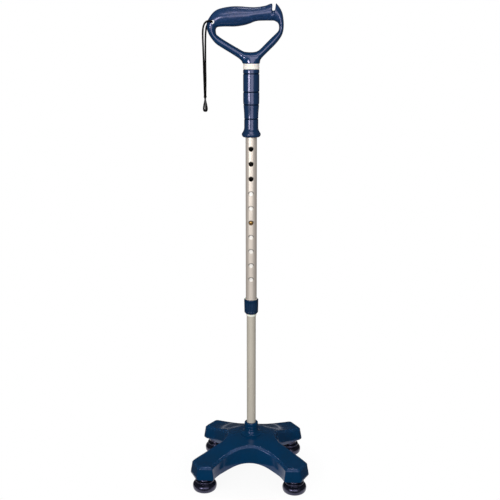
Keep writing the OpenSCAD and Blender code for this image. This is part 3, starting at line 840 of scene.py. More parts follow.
@dataclass
class BaseMoulding:
    """Blue base: a domed X with arched sides, hollow and ribbed below, and a boss round the tube."""

    foot_height: float = 31
    pad_height: float = 23
    hub_rise: float = 22.5
    under_rise: float = 11
    boss_height: float = 20.5
    boss_diameter: float = 24.4
    front_width: float = 105.5
    rear_width: float = 95.5
    depth: float = 96.5
    front_radius: float = 63
    rear_radius: float = 50
    side_radius: float = 52
    clear: float = 49
    wall: float = 3.6
    draft: float = 7
    edge: float = 5
    bevel: float = 3.6
    corner: float = 5
    front_cut: tuple[float, float] = (15.5, 30.5)
    rear_cut: tuple[float, float] = (20.5, 30.5)
    side_arch: tuple[tuple[float, float], ...] = (
        (0.86, -0.91), (0.635, -0.66), (0.34, -0.415), (0.075, -0.24), (0, 0.04),
        (0.035, 0.32), (0.215, 0.57), (0.515, 0.935), (0.78, 1.1),
    )
    rear_arch: tuple[tuple[float, float], ...] = (
        (1.26, 0.93), (0.93, 0.79), (0.58, 0.52), (0.25, 0.12), (0, 0),
    )
    feet: tuple[tuple[float, float], ...] = tuple(FEET.values())
    tube: float = 16.2
    dome: tuple[float, float] = (10, 105)
    arch: tuple[float, float] = (30, 88)
    socket: float = 50
    bolt_bore: float = 8.4
    head_bore: float = 19.2
    head_top: float = 44
    skirt: tuple[float, float] = (8, 6.5)
    lip: float = 0.7
    rib: float = 3
    rib_start: float = 14
    rib_stop: float = 8
    rib_rise: float = 6
    seat: float = 27
    seat_bore: float = 14.2
    drawn_in: float = 0.92
    steps: int = 24
    corner_steps: int = 6
    gap_share: float = 0.06

    def crown(self, r: np.ndarray) -> np.ndarray:
        """Height of the top at a distance from the pole: half a cosine wave, from the hub down to the pads.

        Args:
            r: distances.

        Returns:
            Heights.
        """
        t = np.clip((r - self.dome[0]) / (self.dome[1] - self.dome[0]), 0, 1)
        return self.foot_height + self.pad_height + self.hub_rise * (0.5 + 0.5 * np.cos(np.pi * t))

    def under(self, r: np.ndarray) -> np.ndarray:
        """Height of the lower edge at a distance from the pole: half a cosine wave, highest under the hub.

        Args:
            r: distances.

        Returns:
            Heights.
        """
        t = np.clip((r - self.arch[0]) / (self.arch[1] - self.arch[0]), 0, 1)
        return self.foot_height + self.under_rise * (0.5 + 0.5 * np.cos(np.pi * t))

    def plan(self) -> tuple[np.ndarray, np.ndarray]:
        """Plan of the lower edge with sharp corners.

        The right half is an arc of a circle in front, the two cut ends of the arms, and two smooth lines at
        the side and the rear. The left half mirrors it.

        Returns:
            The points, and for each whether it is a corner.
        """
        f, r, d, c = self.front_width, self.rear_width, self.depth, self.clear
        middle = c + self.front_radius
        turn = np.linspace(np.pi / 2, math.asin((middle - d) / self.front_radius), 200)
        front = np.stack([np.cos(turn), np.sin(turn)], axis=1) * self.front_radius - [0, middle]
        side = smooth_curve(np.array(self.side_arch) * self.side_radius + [c, 0], 40, False)
        rear = smooth_curve(np.array(self.rear_arch) * [self.rear_radius, d - c] + [0, c], 40, False)
        half = len(side) // 2

        def spread(line: np.ndarray, start: float, end: float) -> np.ndarray:
            """Points at even steps of a line's length, from one share of it to another."""
            way = np.concatenate([[0], np.cumsum(np.linalg.norm(np.diff(line, axis=0), axis=1))])
            share = np.linspace(start, end, self.steps + 1) * way[-1]
            return np.stack([np.interp(share, way, line[:, k]) for k in (0, 1)], axis=1)

        gap = self.gap_share
        front_end = [front[-1], (f - self.front_cut[0], -d), (f, -d + self.front_cut[1]), side[0]]
        rear_end = [side[-1], (r, d - self.rear_cut[1]), (r - self.rear_cut[0], d), rear[0]]
        parts = [
            (spread(front, 0, 1 - gap), False), (np.array(front_end), True),
            (spread(side[: half + 1], gap, 1), False), (spread(side[half:], 0, 1 - gap)[1:], False),
            (np.array(rear_end), True), (spread(rear, gap, 1), False),
        ]
        right = np.concatenate([p for p, _ in parts])
        flags = np.concatenate([np.full(len(p), is_corner) for p, is_corner in parts])
        points = np.concatenate([right, right[-2:0:-1] * [-1, 1]])
        return points, np.concatenate([flags, flags[-2:0:-1]])

    def softened(self, ring: np.ndarray, corners: np.ndarray) -> np.ndarray:
        """Rounds the plan corners of one ring, each into a parabola with the corner as its control point.

        Args:
            ring: points of the ring.
            corners: which of them are corners.

        Returns:
            The ring with several points for each corner.
        """
        before, after = np.roll(ring, 1, axis=0) - ring, np.roll(ring, -1, axis=0) - ring
        reach = [np.linalg.norm(v[:, :2], axis=1, keepdims=True) for v in (before, after)]
        a = ring + before / reach[0] * np.minimum(self.corner, 0.48 * reach[0])
        b = ring + after / reach[1] * np.minimum(self.corner, 0.48 * reach[1])
        t = np.linspace(0, 1, self.corner_steps)[None, :, None]
        bent = (1 - t) ** 2 * a[:, None] + 2 * t * (1 - t) * ring[:, None] + t * t * b[:, None]
        kept = np.repeat(corners[:, None], self.corner_steps, axis=1)
        kept[:, 0] = True
        return np.where(corners[:, None, None], bent, ring[:, None]).reshape(-1, ring.shape[1])[kept.ravel()]

    def arms(self) -> list[tuple[int, int]]:
        """Where each arm starts in the softened plan.

        Returns:
            For each arm, its first point and the number of points across its end.
        """
        end = 4 * self.corner_steps
        return [(i * (2 * self.steps + end + 1), end) for i in range(4)]

    def spine(self, ring: np.ndarray) -> np.ndarray:
        """The point towards which each point of a ring is drawn in.

        Along an arm it lies halfway between the two points that face each other across the arm.

        Args:
            ring: a ring of the softened plan.

        Returns:
            The pole, or the middle of the point's arm.
        """
        lines = []
        for start, end in self.arms():
            i = np.arange(1, self.steps + 1)
            middle = (ring[start + i, :2] + ring[start + 2 * self.steps + end + 1 - i, :2]) / 2
            lines += [np.zeros((1, 2)), middle, np.repeat(middle[-1:], end, axis=0), middle[::-1]]
        return np.concatenate(lines)

    def cap(self, first: int, count: int, centre: int) -> np.ndarray:
        """Triangles that close the innermost ring of the skin.

        Between two arms they fan out from the pole. Along an arm they zigzag between the two sides that face
        each other, and round its end they fan out from one point.

        Args:
            first: the ring's first point.
            count: points in the ring.
            centre: the point at the pole.

        Returns:
            The triangles.
        """
        blocks = []
        for start, end in self.arms():
            s, e = first + start, 2 * self.steps + end + 1
            beyond = first + (start + e) % count
            fan = [[centre, s, s + 1], [centre, s + 1, s + e - 1], [centre, s + e - 1, beyond]]
            blocks.append(np.array(fan))
            i = np.arange(1, self.steps)
            blocks.append(np.stack([s + i, s + i + 1, s + e - i - 1], axis=1))
            blocks.append(np.stack([s + i, s + e - i - 1, s + e - i], axis=1))
            k = np.arange(1, end + 1)
            tip = np.full(end, s + self.steps)
            blocks.append(np.stack([tip, tip + k, tip + k + 1], axis=1))
        return np.concatenate(blocks)

    def shell(self) -> Shape:
        """The hollow skin.

        Its rings are the plan moved in along the mean normal of its corners, by a share of the draft that
        grows with the height. They run from the ceiling inside, round the lip, up the wall, over the bevel
        and in to the arms.

        Returns:
            The closed shape.
        """
        plan, corners = self.plan()
        a = plan - np.roll(plan, 1, axis=0)
        b = np.roll(plan, -1, axis=0) - plan
        a, b = (v / np.linalg.norm(v, axis=1, keepdims=True) for v in (a, b))
        m = (a + b) / np.linalg.norm(a + b, axis=1, keepdims=True)
        normal = np.stack([m[:, 1], -m[:, 0]], axis=1) / np.sum(m * b, axis=1, keepdims=True)
        r = np.linalg.norm(plan, axis=1)
        low = self.under(r)
        lean = (self.crown(r) - low) * math.tan(math.radians(self.draft))
        top = self.crown(np.linalg.norm(plan - (lean + self.edge)[:, None] * normal, axis=1))

        def ring(inset: np.ndarray | float, z: np.ndarray) -> np.ndarray:
            """The plan moved in by an inset, at a height, with its corners rounded."""
            moved = plan - np.broadcast_to(inset, r.shape)[:, None] * normal
            return self.softened(np.column_stack([moved, z]), corners)

        lip = self.lip
        rows = [ring(lean + self.wall, top - self.wall)]
        rows += [ring(self.wall, low + lip), ring(self.wall - lip, low)]
        rows += [ring(lip, low), ring(0.3 * lip, low + 0.3 * lip), ring(lip * lean / (top - low), low + lip)]
        rows += [ring(lean * 0.5, (low + top - self.edge) / 2)]
        bevel = rounded([(0, -self.edge), (0, -self.bevel), (self.bevel, 0), (self.edge, 0)], 1.2, 3)
        rows += [ring(lean + inset, top + drop) for inset, drop in bevel]
        ceiling = self.drawn(rows[0], 6)[::-1] - [0, 0, self.wall]
        crown = self.drawn(rows[-1], 14)
        grid = np.concatenate([ceiling, rows, crown])
        count, rings = grid.shape[1], len(grid)
        centre = self.crown(np.zeros(1))[0]
        points = np.concatenate([grid.reshape(-1, 3), [[0, 0, centre - self.wall], [0, 0, centre]]])
        faces = [
            ring_faces(rings, count, False)[:, ::-1],
            self.cap(0, count, rings * count),
            self.cap((rings - 1) * count, count, rings * count + 1)[:, ::-1],
        ]
        wear_and_shade = np.zeros((rings, count))
        edge = len(ceiling) + len(rows) - len(bevel)
        wear_and_shade[edge : edge + len(bevel)] = np.sin(np.linspace(0.3, np.pi - 0.3, len(bevel)))[:, None]
        return Shape(points, faces, np.concatenate([wear_and_shade.ravel(), [0, 0]])).outward()

    def drawn(self, ring: np.ndarray, steps: int) -> np.ndarray:
        """Rings from a ring of the skin in to the middle of the arms, in even steps along straight lines.

        Args:
            ring: the outer ring.
            steps: number of new rings.

        Returns:
            The new rings, on the dome.
        """
        inner = self.spine(ring)
        share = (np.arange(1, steps + 1) / steps * self.drawn_in)[:, None, None]
        flat = ring[None, :, :2] + (inner - ring[:, :2])[None] * share
        return np.concatenate([flat, self.crown(np.linalg.norm(flat, axis=2))[:, :, None]], axis=2)

    def boss(self) -> Shape:
        """The boss, its fillet into the dome, and the core below it, as one profile turned about the pole.

        Returns:
            The closed shape.
        """
        boss, bore, core = self.boss_diameter / 2, self.tube / 2, self.boss_diameter / 2 + 3
        hub = self.foot_height + self.pad_height + self.hub_rise
        top = hub + self.boss_height
        spread, rise = boss + self.skirt[0], self.skirt[1]
        slope = (self.crown(np.array([spread + 0.1])) - self.crown(np.array([spread - 0.1])))[0] / 0.2
        foot = self.crown(np.array([spread]))[0]
        start = foot - slope * (spread - boss) + rise
        t = np.linspace(0, 1, 13)[:, None]
        # The skirt leaves the dome along its slope and ends upright on the boss
        skirt = (1 - t) ** 2 * [spread, foot] + 2 * t * (1 - t) * [boss, start - rise] + t * t * [boss, start]
        ridges = [
            (boss, start + 1.2), (boss - 0.5, start + 1.7), (boss - 0.5, start + 2.5), (boss, start + 3),
            (boss, start + 6), (boss - 0.5, start + 6.5), (boss - 0.5, start + 7.3), (boss, start + 7.8),
            (boss, top - 1.6), (boss - 1.7, top), (bore + 0.9, top), (bore, top - 0.8),
            (bore, self.socket + 2),
        ]
        upper = rounded(ridges, 0.35, 3)
        low = self.under(np.zeros(1))[0]
        bolt, head = self.bolt_bore / 2, self.head_bore / 2
        under = [(head, self.head_top), (head, low), (core - 0.5, low), (core, low + 0.5), (core, hub - 6)]
        floor = [(bore, self.socket), (bolt, self.socket), (bolt, self.head_top)]
        loop = np.concatenate([skirt, upper, floor, under, [(spread, foot - 2)]])
        return revolved(loop, 128)

    def ribs(self) -> list[Shape]:
        """Ribs under the arms and the seats over the feet.

        A rib is a rectangle carried out from the pole towards a foot: its lower side falls in a straight line
        and its upper side follows the dome, just inside the skin. A seat is a rectangle turned about the
        foot's axis.

        Returns:
            The shapes.
        """
        shapes = []
        for x, y in self.feet:
            reach, angle = math.hypot(x, y), math.atan2(y, x)
            r = np.linspace(self.rib_start, reach - self.rib_stop, 14)
            ends = [self.under(np.zeros(1))[0], self.foot_height + self.rib_rise]
            z0 = np.interp(r, [self.rib_start, reach], ends)
            z1 = self.crown(r) - self.wall + 1
            u, v = np.array([math.cos(angle), math.sin(angle)]), np.array([-math.sin(angle), math.cos(angle)])
            corners = ((-1, z0), (1, z0), (1, z1), (-1, z1))
            rows = [np.column_stack([r[:, None] * u + side * self.rib / 2 * v, z]) for side, z in corners]
            points = np.stack(rows, axis=1).reshape(-1, 3)
            last = len(r) * 4 - 4
            caps = np.array([[3, 2, 1, 0], [last, last + 1, last + 2, last + 3]])
            shapes.append(Shape(points, [ring_faces(len(r), 4, False), caps]).outward())
            foot, top = self.foot_height, self.foot_height + self.pad_height - self.wall / 2
            inner, outer = self.seat_bore / 2, self.seat / 2
            ring = rounded([(inner, top), (outer, top), (outer, foot), (inner, foot)], 0.6, 3)
            shapes.append(revolved(ring, 48, (x, y)))
        return shapes

    def build(self, look: Palette) -> None:
        """Makes the base's pieces.

        Args:
            look: the finishes.
        """
        blue = look.base.make()
        moulding = make_piece("base", [self.shell(), *self.ribs()])
        place(moulding, Body.BASE, Slot.BASE, blue, "base_moulding")
        place(make_piece("base_boss", [self.boss()], 50), Body.BASE, Slot.BASE, blue)


@dataclass
class Feet:
    """Four rubber feet with a ring above a wide rolled bell."""

    places: dict[str, tuple[float, float]] = field(default_factory=lambda: dict(FEET))
    diameter: float = 42.4
    neck: float = 25.2
    stem: float = 14
    height: float = 31
    stem_length: float = 12.4
    recess: float = 9

    def profile(self) -> np.ndarray:
        """Section of a foot.

        Returns:
            Radius and height of its points, as a closed loop.
        """
        r, n, h = self.diameter / 2, self.neck / 2, self.height
        line = [
            (6, 0), (r - 4.6, 0), (r - 1.4, 1.8), (r - 0.3, 5.2), (r, 9), (r - 0.8, 12), (r - 3.2, 14.4),
            (n + 3, 15.4), (n + 2.6, 16.2), (n + 4, 17), (n + 4, 18.8), (n + 3, 19.8), (n + 0.4, 21),
            (n, 24), (n, h),
            (self.stem / 2, h), (self.stem / 2, h + self.stem_length), (2.6, h + self.stem_length),
            (2.6, self.recess), (6, self.recess), (6, 0.5),
        ]
        return rounded(line, [0, 1.5] + [2] * 5 + [1] * 5 + [2, 2] + [0.4] * 3 + [0.2] * 3 + [0], 4)

    def build(self, look: Palette) -> None:
        """Makes the feet.

        Args:
            look: the finishes.
        """
        rubber = look.foot.make()
        for name, at in self.places.items():
            foot = make_piece(f"rubber_{name}", [revolved(self.profile(), 72, at)], 50)
            place(foot, Body.BASE, Slot.FOOT, rubber, f"foot_{name}")


@dataclass
class Collar:
    """Blue fluted locking collar."""

    foot: float = 304
    height: float = 27
    top_diameter: float = 24.8
    foot_diameter: float = 23.6
    sleeve: float = 21.6
    lip: float = 18.56
    web: float = 3.2
    flutes: int = 18
    flute_depth: float = 0.75
    flute_foot: float = 3.6
    flute_top: float = 4.4
    flute_fade: float = 2.2

    def build(self, look: Palette) -> None:
        """Makes the collar.

        A profile is turned about the pole. A flute's depth is a cosine of the angle, cut flat between the
        flutes.

        Args:
            look: the finishes.
        """
        r0, r1, h = self.foot_diameter / 2, self.top_diameter / 2, self.height
        outside = rounded([(r0 - 2.4, 0), (r0, 2.4), (r0 + 0.2, 4)], 1, 4)
        barrel = np.column_stack([np.linspace(r0 + 0.2, r1, 24), np.linspace(4.2, h - 3, 24)])
        bore = self.sleeve / 2
        rim = rounded([(r1, h - 2.6), (r1, h - 0.9), (r1 - 1, h), (bore, h), (bore, h - 2)], 0.5, 3)
        inside = [(bore, self.web), (self.lip / 2, self.web), (self.lip / 2, 0)]
        loop = np.concatenate([outside, barrel, rim, inside]) + [0, self.foot]
        shape = revolved(loop, self.flutes * 12)
        # Flutes run up the barrel and fade out at both ends
        x, y, z = shape.points.T - [[0], [0], [self.foot]]
        radius, angle = np.hypot(x, y), np.arctan2(y, x)
        ends = [np.clip(way / self.flute_fade, 0, 1) for way in (z - self.flute_foot, h - self.flute_top - z)]
        fade = ends[0] * ends[1] * (radius > bore + 0.2)
        groove = np.clip(-np.cos(angle * self.flutes), -0.2, 1) * 0.83 + 0.17
        scale = 1 - self.flute_depth * fade * groove / radius
        shape.points[:, :2] *= scale[:, None]
        shape.wear_and_shade = fade * (1 - groove) * 0.8
        place(make_piece("collar", [shape]), Body.COLLAR, Slot.COLLAR, look.collar.make(), "locking_collar")


@dataclass
class Pole:
    """The two tubes and the pieces inside them, which keep their CAD shapes."""

    def build(self, look: Palette) -> None:
        """Dresses the CAD nodes.

        Args:
            look: the finishes.
        """
        steel, nylon, silver = look.steel.make(), look.nylon.make(), look.upper_tube.make()
        for name in ("foot_screws", "foot_washers", "base_bolt", "base_washer", "tube_plug"):
            dress_node(name, steel)
        for name in ("guide_cap", "collar_bush"):
            dress_node(name, nylon)
        for name in ("upper_tube", "handle_rivet"):
            dress_node(name, silver)
        dress_node("lower_tube", look.lower_tube.make())
        dress_node("button_spring", look.spring.make())
        dress_node("snap_button", look.brass.make())


@dataclass
class SecondGrip:
    """Ringed grip below the handle and the white ring above it."""

    foot: float = 612
    length: float = 109.5
    top_diameter: float = 26.6
    waist_diameter: float = 23.4
    flare: float = 32
    bore: float = 19.2
    swell: tuple[float, float] = (33, 62)
    grooves: tuple[float, ...] = (30, 53, 73.5, 102.5)
    groove_depth: float = 0.9
    groove_width: float = 1.7
    ring_height: float = 9
    ring_diameter: float = 26.4
    turns: int = 96

    def build(self, look: Palette) -> None:
        """Makes the grip and the ring, each a profile turned about the pole.

        The grip's radius grows from the waist to the top as half a cosine wave, and each groove takes a
        parabola out of it.

        Args:
            look: the finishes.
        """
        waist, top = self.waist_diameter / 2, self.top_diameter / 2
        flare, bore = self.flare / 2, self.bore / 2
        toe = rounded([
            (bore, 0), (flare - 3, 0), (flare - 1.2, 1.4), (flare, 4.4), (flare - 0.7, 6.6), (flare - 2.4, 9),
            (waist + 0.6, 12), (waist, 14.5), (waist, 16),
        ], [0, 0.6, 1.5, 1.5, 1.2, 1.5, 1.5, 1.5, 0], 5)
        z = np.linspace(16.2, self.length - 2.2, 420)
        t = np.clip((z - self.swell[0]) / (self.swell[1] - self.swell[0]), 0, 1)
        radius = waist + (top - waist) * (0.5 - 0.5 * np.cos(np.pi * t))
        off = np.abs(z[:, None] - np.array(self.grooves)[None, :]) / (self.groove_width / 2)
        radius -= self.groove_depth * np.clip(1 - off**2, 0, 1).max(axis=1)
        end = self.length
        head = rounded([(top, end - 2), (top - 0.2, end - 0.9), (top - 1.2, end), (bore, end)], 0.7, 4)
        loop = np.concatenate([toe, np.column_stack([radius, z]), head]) + [0, self.foot]
        shape = revolved(loop, self.turns)
        # Painted shade in the grooves, stored as negative values
        painted_groove_shade = -np.clip(1.3 - off.min(axis=1), 0, 1)
        shape.wear_and_shade = np.repeat(np.concatenate([np.zeros(len(toe)), painted_groove_shade, np.zeros(len(head))]), self.turns)
        place(make_piece("second_grip", [shape]), Body.UPPER, Slot.GRIP, look.grip.make(), "lower_grip")
        r, h, z0 = self.ring_diameter / 2, self.ring_height, self.foot + self.length
        line = [
            (bore, 0), (r - 0.6, 0), (r, 0.6), (r, h * 0.5), (r - 0.5, h * 0.5 + 0.4), (r - 0.5, h * 0.5 + 1),
            (r - 0.1, h * 0.5 + 1.4), (r - 0.1, h - 0.6), (r - 0.7, h), (bore, h),
        ]
        ring = revolved(rounded(line, 0.4, 3) + [0, z0], self.turns)
        place(make_piece("white_ring", [ring]), Body.UPPER, Slot.NYLON, look.nylon.make(), "spacer_ring")


@dataclass
class Handle:
    """Moulded D-handle: a swelling grip bar on two arms, a notch at its thin end and a strap hole."""

    foot: float = 730.5
    left: float = 72
    right: float = 52
    height: float = 89
    web: float = 18.2
    bar_left: float = 31
    bar_right: float = 22
    bar_depth: float = 31
    arm_depth: float = 18
    neck: float = 26
    notch: float = 10.5
    strap: tuple[float, float] = STRAP_AT
    strap_diameter: float = STRAP_HOLE
    crest: float = 1.6
    crest_rise: tuple[float, float] = (60, 70)
    held_rise: tuple[float, float] = (58, 68)
    eased: tuple[tuple[float, float], ...] = ((28, 0.3), (22, 0.6), (16, 1.0))
    ease_rounds: int = 80
    steps: int = 10
    sides: int = 72

    def stations(self) -> np.ndarray:
        """Sections round the handle.

        Returns:
            For each section its outer x and z, inner x and z, and half depth, from the neck's foot.
        """
        l, r, h, n, w = -self.left, self.right, self.height, self.neck / 2, self.web
        li, ri, a, b = h - self.bar_left, h - self.bar_right, self.arm_depth / 2, self.bar_depth / 2
        lip, cut = h + 4, h + 4 - self.notch
        return np.array([
            (0, 0, 0, w, n), (-n, 0, -9, w + 0.6, n - 0.5), (-n - 4.5, 6.4, -14, w + 2, n - 2.5),
            (l + 35, 18.5, l + 46, w + 8.5, a + 0.5), (l + 16.5, 30, l + 27, w + 19.5, a),
            (l + 8, 39, l + 18.5, 43.5, a), (l + 2.6, 48, l + 15.6, 46.5, a + 1),
            (l, 56.5, l + 14.8, li - 6, a + 2), (l + 0.7, 65, l + 16, li - 2, a + 2.8),
            (l + 4.2, h - 17.5, l + 19, li - 0.6, a + 3.4), (l + 10, h - 10, l + 24, li - 0.2, a + 4.2),
            (l + 17, h - 5, l + 29, li, b - 1), (l + 27, h - 2, l + 36, li, b - 0.3),
            (l + 41, h, l + 46, li, b),
            (-17, h, -14, li + 1.5, b), (-4, h - 1, -4, (li + ri) / 2 - 0.5, b - 0.7),
            (8, h - 1.2, 8, ri - 0.8, b - 1.8),
            (r - 30, h + 0.8, r - 31, ri, b - 3), (r - 19, lip, r - 22, ri, b - 4),
            (r - 18.6, cut + 1.5, r - 20.6, ri, b - 4.2), (r - 16.2, cut, r - 18.8, ri, b - 4.4),
            (r - 13.8, cut + 2, r - 17, ri, b - 4.6), (r - 12.6, lip - 0.2, r - 15, ri - 0.4, b - 4.8),
            (r - 10.6, lip - 0.9, r - 13, ri - 1.2, b - 5), (r - 5.2, h - 4, r - 10, ri - 3, b - 5.2),
            (r - 1.7, h - 12, r - 8.3, ri - 5.5, a + 1.2), (r, h - 23, r - 7.4, ri - 9.5, a + 0.6),
            (r + 0.2, h - 31.5, r - 7.6, ri - 13, a), (r - 1, h - 40, r - 9, ri - 16.5, a),
            (r - 5, h - 48.5, r - 13.5, ri - 21, a), (r - 13, 30.5, r - 21, ri - 28, a),
            (26, 17.6, 21, w + 11, a + 0.5),
            (n + 2, 6.6, 13.5, w + 4, n - 2.5), (n, 0, 8, w + 1, n - 0.5),
        ])

    def loop(self) -> Shape:
        """The bar and arms as one closed ring of sections.

        A section reaches from its outer to its inner point as the cosine of the angle, and its depth is the
        root of 1 less a power of that cosine: 2 makes an ellipse, and less a crest.

        Returns:
            The closed shape.
        """
        s = smooth_curve(self.stations(), self.steps, True)
        a = np.linspace(0, 2 * np.pi, self.sides, endpoint=False)
        middle, reach = (s[:, :2] + s[:, 2:4]) / 2, (s[:, :2] - s[:, 2:4]) / 2
        power = np.interp(middle[:, 1], self.crest_rise, [2, self.crest])[:, None]
        x = middle[:, :1] + reach[:, :1] * np.cos(a)
        z = middle[:, 1:] + reach[:, 1:] * np.cos(a) + self.foot
        y = s[:, 4:] * np.sign(np.sin(a)) * np.sqrt(np.clip(1 - np.abs(np.cos(a)) ** power, 0, 1))
        return Shape(np.stack([x, y, z], axis=2).reshape(-1, 3), [ring_faces(len(s), len(a), True)]).outward()

    def build(self, look: Palette) -> None:
        """Makes the handle.

        The ring of sections is joined to a turned neck and cut by a cylinder for the strap. Then the points
        of the neck move towards their neighbours' mean, less and less further up the arms.

        Args:
            look: the finishes.
        """
        n, f = self.neck / 2, self.foot
        neck = [(0, f), (n - 0.6, f), (n, f + 0.6), (n, f + 6), (n - 1, f + 12), (0, f + 13)]
        handle = make_piece("d_handle", [self.loop()])
        core = make_piece("neck_core", [revolved(rounded(neck, [0, 0.4, 0.4, 2, 2, 0], 4))])
        reach, r, (x, z) = self.bar_depth, self.strap_diameter / 2, self.strap
        hole = revolved(np.array([(0, -reach), (r, -reach), (r, reach), (0, reach)]), 48)
        hole.points = np.column_stack([x + hole.points[:, 0], hole.points[:, 2], z + hole.points[:, 1]])
        cutter = make_piece("strap_cutter", [hole.outward()])
        for other, operation in ((core, "UNION"), (cutter, "DIFFERENCE")):
            step = handle.modifiers.new(other.name, "BOOLEAN")
            step.operation, step.object, step.solver = operation, other, "EXACT"
        applied(handle)
        for other in (core, cutter):
            bpy.data.objects.remove(other)
        mesh = handle.data
        spots = np.empty(len(mesh.vertices) * 3, np.float32)
        mesh.vertices.foreach_get("co", spots)
        rise = spots[2::3] / MM - f
        # The neck flows into the arms
        soft = handle.vertex_groups.new(name="soft")
        for limit, weight in self.eased:
            soft.add(np.flatnonzero((rise > 1.5) & (rise < limit)).tolist(), weight, "REPLACE")
        ease = handle.modifiers.new("ease", "SMOOTH")
        ease.factor, ease.iterations, ease.vertex_group = 0.5, self.ease_rounds, soft.name
        applied(handle)
        mesh = handle.data
        mesh.set_sharp_from_angle(angle=math.radians(50))
        # The bar is dull from the hand, the arms keep their gloss
        held = np.interp(rise, self.held_rise, [0, 1])
        mesh.attributes["wear_and_shade"].data.foreach_set("value", held.astype(np.float32))
        place(handle, Body.UPPER, Slot.HANDLE, look.handle.make(), "handle")


# Studio


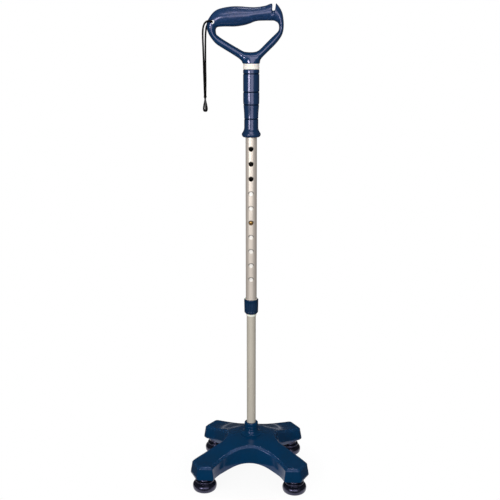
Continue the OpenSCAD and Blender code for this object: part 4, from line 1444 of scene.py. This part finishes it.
@dataclass
class Studio:
    """Camera, lamps, world and floor."""

    distance: float = 1.2869
    height: float = 0.7394
    azimuth: float = 2.56
    pitch: float = 14
    lens: float = 55.44
    shift: float = -0.0025
    ambient: float = 0.36
    room: float = 0.06
    sheet_height: tuple[float, float] = (0.005, 0.025)
    sheet_width: tuple[float, float] = (0.965, 0.985)
    shadow: tuple[float, float] = (0.08, 0.15)
    shadow_white: float = 0.93

    def camera(self) -> None:
        """Sets the camera in front of the object, at the height of the handle's foot, looking down."""
        data = bpy.data.cameras.new("camera")
        data.lens, data.sensor_width, data.shift_x = self.lens, 36, self.shift
        camera = bpy.data.objects.new("camera", data)
        turn = math.radians(self.azimuth)
        camera.location = (self.distance * math.sin(turn), -self.distance * math.cos(turn), self.height)
        camera.rotation_euler = (math.radians(90 - self.pitch), 0, turn)
        bpy.context.scene.collection.objects.link(camera)
        bpy.context.scene.camera = camera

    @staticmethod
    def lamp(
        name: str, at: Place, aim: Place, size: tuple[float, float], power: float, spread: float = 180
    ) -> None:
        """Adds a soft lamp.

        Args:
            name: the lamp's name.
            at: its place.
            aim: the point that it faces.
            size: its width and height.
            power: its power in watts.
            spread: the angle that its light fans out over.
        """
        data = bpy.data.lights.new(name, "AREA")
        data.spread = math.radians(spread)
        data.shape, data.size, data.size_y, data.energy = "RECTANGLE", size[0], size[1], power
        lamp = bpy.data.objects.new(name, data)
        lamp.location = at
        way = np.array(aim) - np.array(at)
        flat = math.hypot(way[0], way[1])
        lamp.rotation_euler = (math.atan2(flat, -way[2]), 0, math.atan2(way[1], way[0]) - math.pi / 2)
        bpy.context.scene.collection.objects.link(lamp)

    def world(self) -> None:
        """A dim room with a white sheet behind the object.

        A camera ray sees white. A reflection or a ray through glass sees the sheet, a low band behind the
        object at the height of the horizon, and the dim room elsewhere. All other rays find an even, soft
        light.
        """
        world = bpy.data.worlds.new("surround")
        world.use_nodes = True
        bpy.context.scene.world = world
        w = Nodes(world.node_tree)
        path = w.node("ShaderNodeLightPath").outputs
        way = w.node("ShaderNodeSeparateXYZ", i0=w.node("ShaderNodeTexCoord").outputs["Generated"]).outputs
        band = w.ramp(w.math("ABSOLUTE", way["Z"], 0.0), *self.sheet_height, 1, 0)
        sheet = w.math("MULTIPLY", w.ramp(way["Y"], *self.sheet_width, 0, 1), band)
        mirrored = w.math("MAXIMUM", path["Is Glossy Ray"], path["Is Transmission Ray"])
        plain = w.math("MULTIPLY", w.math("SUBTRACT", 1.0, mirrored), self.ambient)
        shown = w.math("MULTIPLY", mirrored, w.ramp(sheet, 0, 1, self.room, 1))
        level = w.math("MAXIMUM", path["Is Camera Ray"], w.math("ADD", plain, shown))
        background = w.tree.nodes["Background"]
        background.inputs["Color"].default_value = (1, 1, 1, 1)
        w.feed(background.inputs["Strength"], level)

    def floor(self) -> None:
        """A plain white floor that keeps a soft shadow round the object.

        The shadow's share falls from near the object to nothing further out, where the floor is as white as
        the background.
        """
        side, front, back = 0.14, -0.1, 0.16
        mesh = bpy.data.meshes.new("floor")
        corners = [(-side, front, 0), (side, front, 0), (side, back, 0), (-side, back, 0)]
        mesh.from_pydata(corners, [], [(0, 1, 2, 3)])
        floor = bpy.data.objects.new("floor", mesh)
        bpy.context.scene.collection.objects.link(floor)
        s = Shader("white_floor")
        paper = s.ramp(s.grain(60), 0.3, 0.7, 0.83, 0.86)
        grey = s.node("ShaderNodeCombineColor", i0=paper, i1=paper, i2=paper).outputs[0]
        s.surface(Base_Color=grey, Roughness=0.9)
        path = s.node("ShaderNodeLightPath").outputs
        mirrored = s.math("MAXIMUM", path["Is Glossy Ray"], path["Is Transmission Ray"])
        seen = s.math("MAXIMUM", path["Is Camera Ray"], mirrored)
        away = s.node("ShaderNodeVectorMath", {"operation": "LENGTH"}, i0=s.place).outputs["Value"]
        share = s.math("MULTIPLY", seen, s.ramp(away, *self.shadow, self.shadow_white, 1))
        lit = s.node("ShaderNodeEmission", Strength=1.0)
        both = s.node("ShaderNodeMixShader", i0=share, i1=s.shader.outputs[0], i2=lit.outputs[0])
        s.feed(s.tree.nodes["Material Output"].inputs["Surface"], both.outputs[0])
        mesh.materials.append(s.material)

    def build(self) -> None:
        """Sets the view, the world, the floor and the lamps."""
        bpy.context.scene.view_settings.view_transform = "Standard"
        self.world()
        self.floor()
        self.lamp("key", (-0.8, -1.45, 0.75), (0, 0, 0.6), (0.4, 0.55), 12.5)
        self.lamp("front", (0.33, -1.46, 0.85), (0, 0, 0.7), (1.1, 1.3), 10)
        self.lamp("upper", (0.03, -0.85, 1.42), (0, 0, 0.6), (0.6, 1.5), 0.8)
        self.lamp("top", (0, -0.7, 1.65), (0, 0, 0.8), (0.9, 0.25), 2)
        self.lamp("edge", (0, 0.35, 1.95), (0, -0.03, 0.03), (0.9, 0.12), 0.15, 14)


@dataclass
class Cane:
    """The whole cane in its studio."""

    look: Palette = field(default_factory=Palette)
    studio: Studio = field(default_factory=Studio)
    cord: WristCord = field(default_factory=WristCord)
    base: BaseMoulding = field(default_factory=BaseMoulding)
    feet: Feet = field(default_factory=Feet)
    pole: Pole = field(default_factory=Pole)
    collar: Collar = field(default_factory=Collar)
    grip: SecondGrip = field(default_factory=SecondGrip)
    handle: Handle = field(default_factory=Handle)

    def build(self) -> None:
        """Makes everything, camera and cord first."""
        self.studio.camera()
        for part in (self.cord, self.base, self.feet, self.pole, self.collar, self.grip, self.handle):
            part.build(self.look)
        self.studio.build()


def main() -> None:
    """Builds the scene."""
    logging.basicConfig(level=logging.INFO, format="%(message)s")
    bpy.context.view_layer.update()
    Cane().build()


if __name__ == "__main__":
    main()
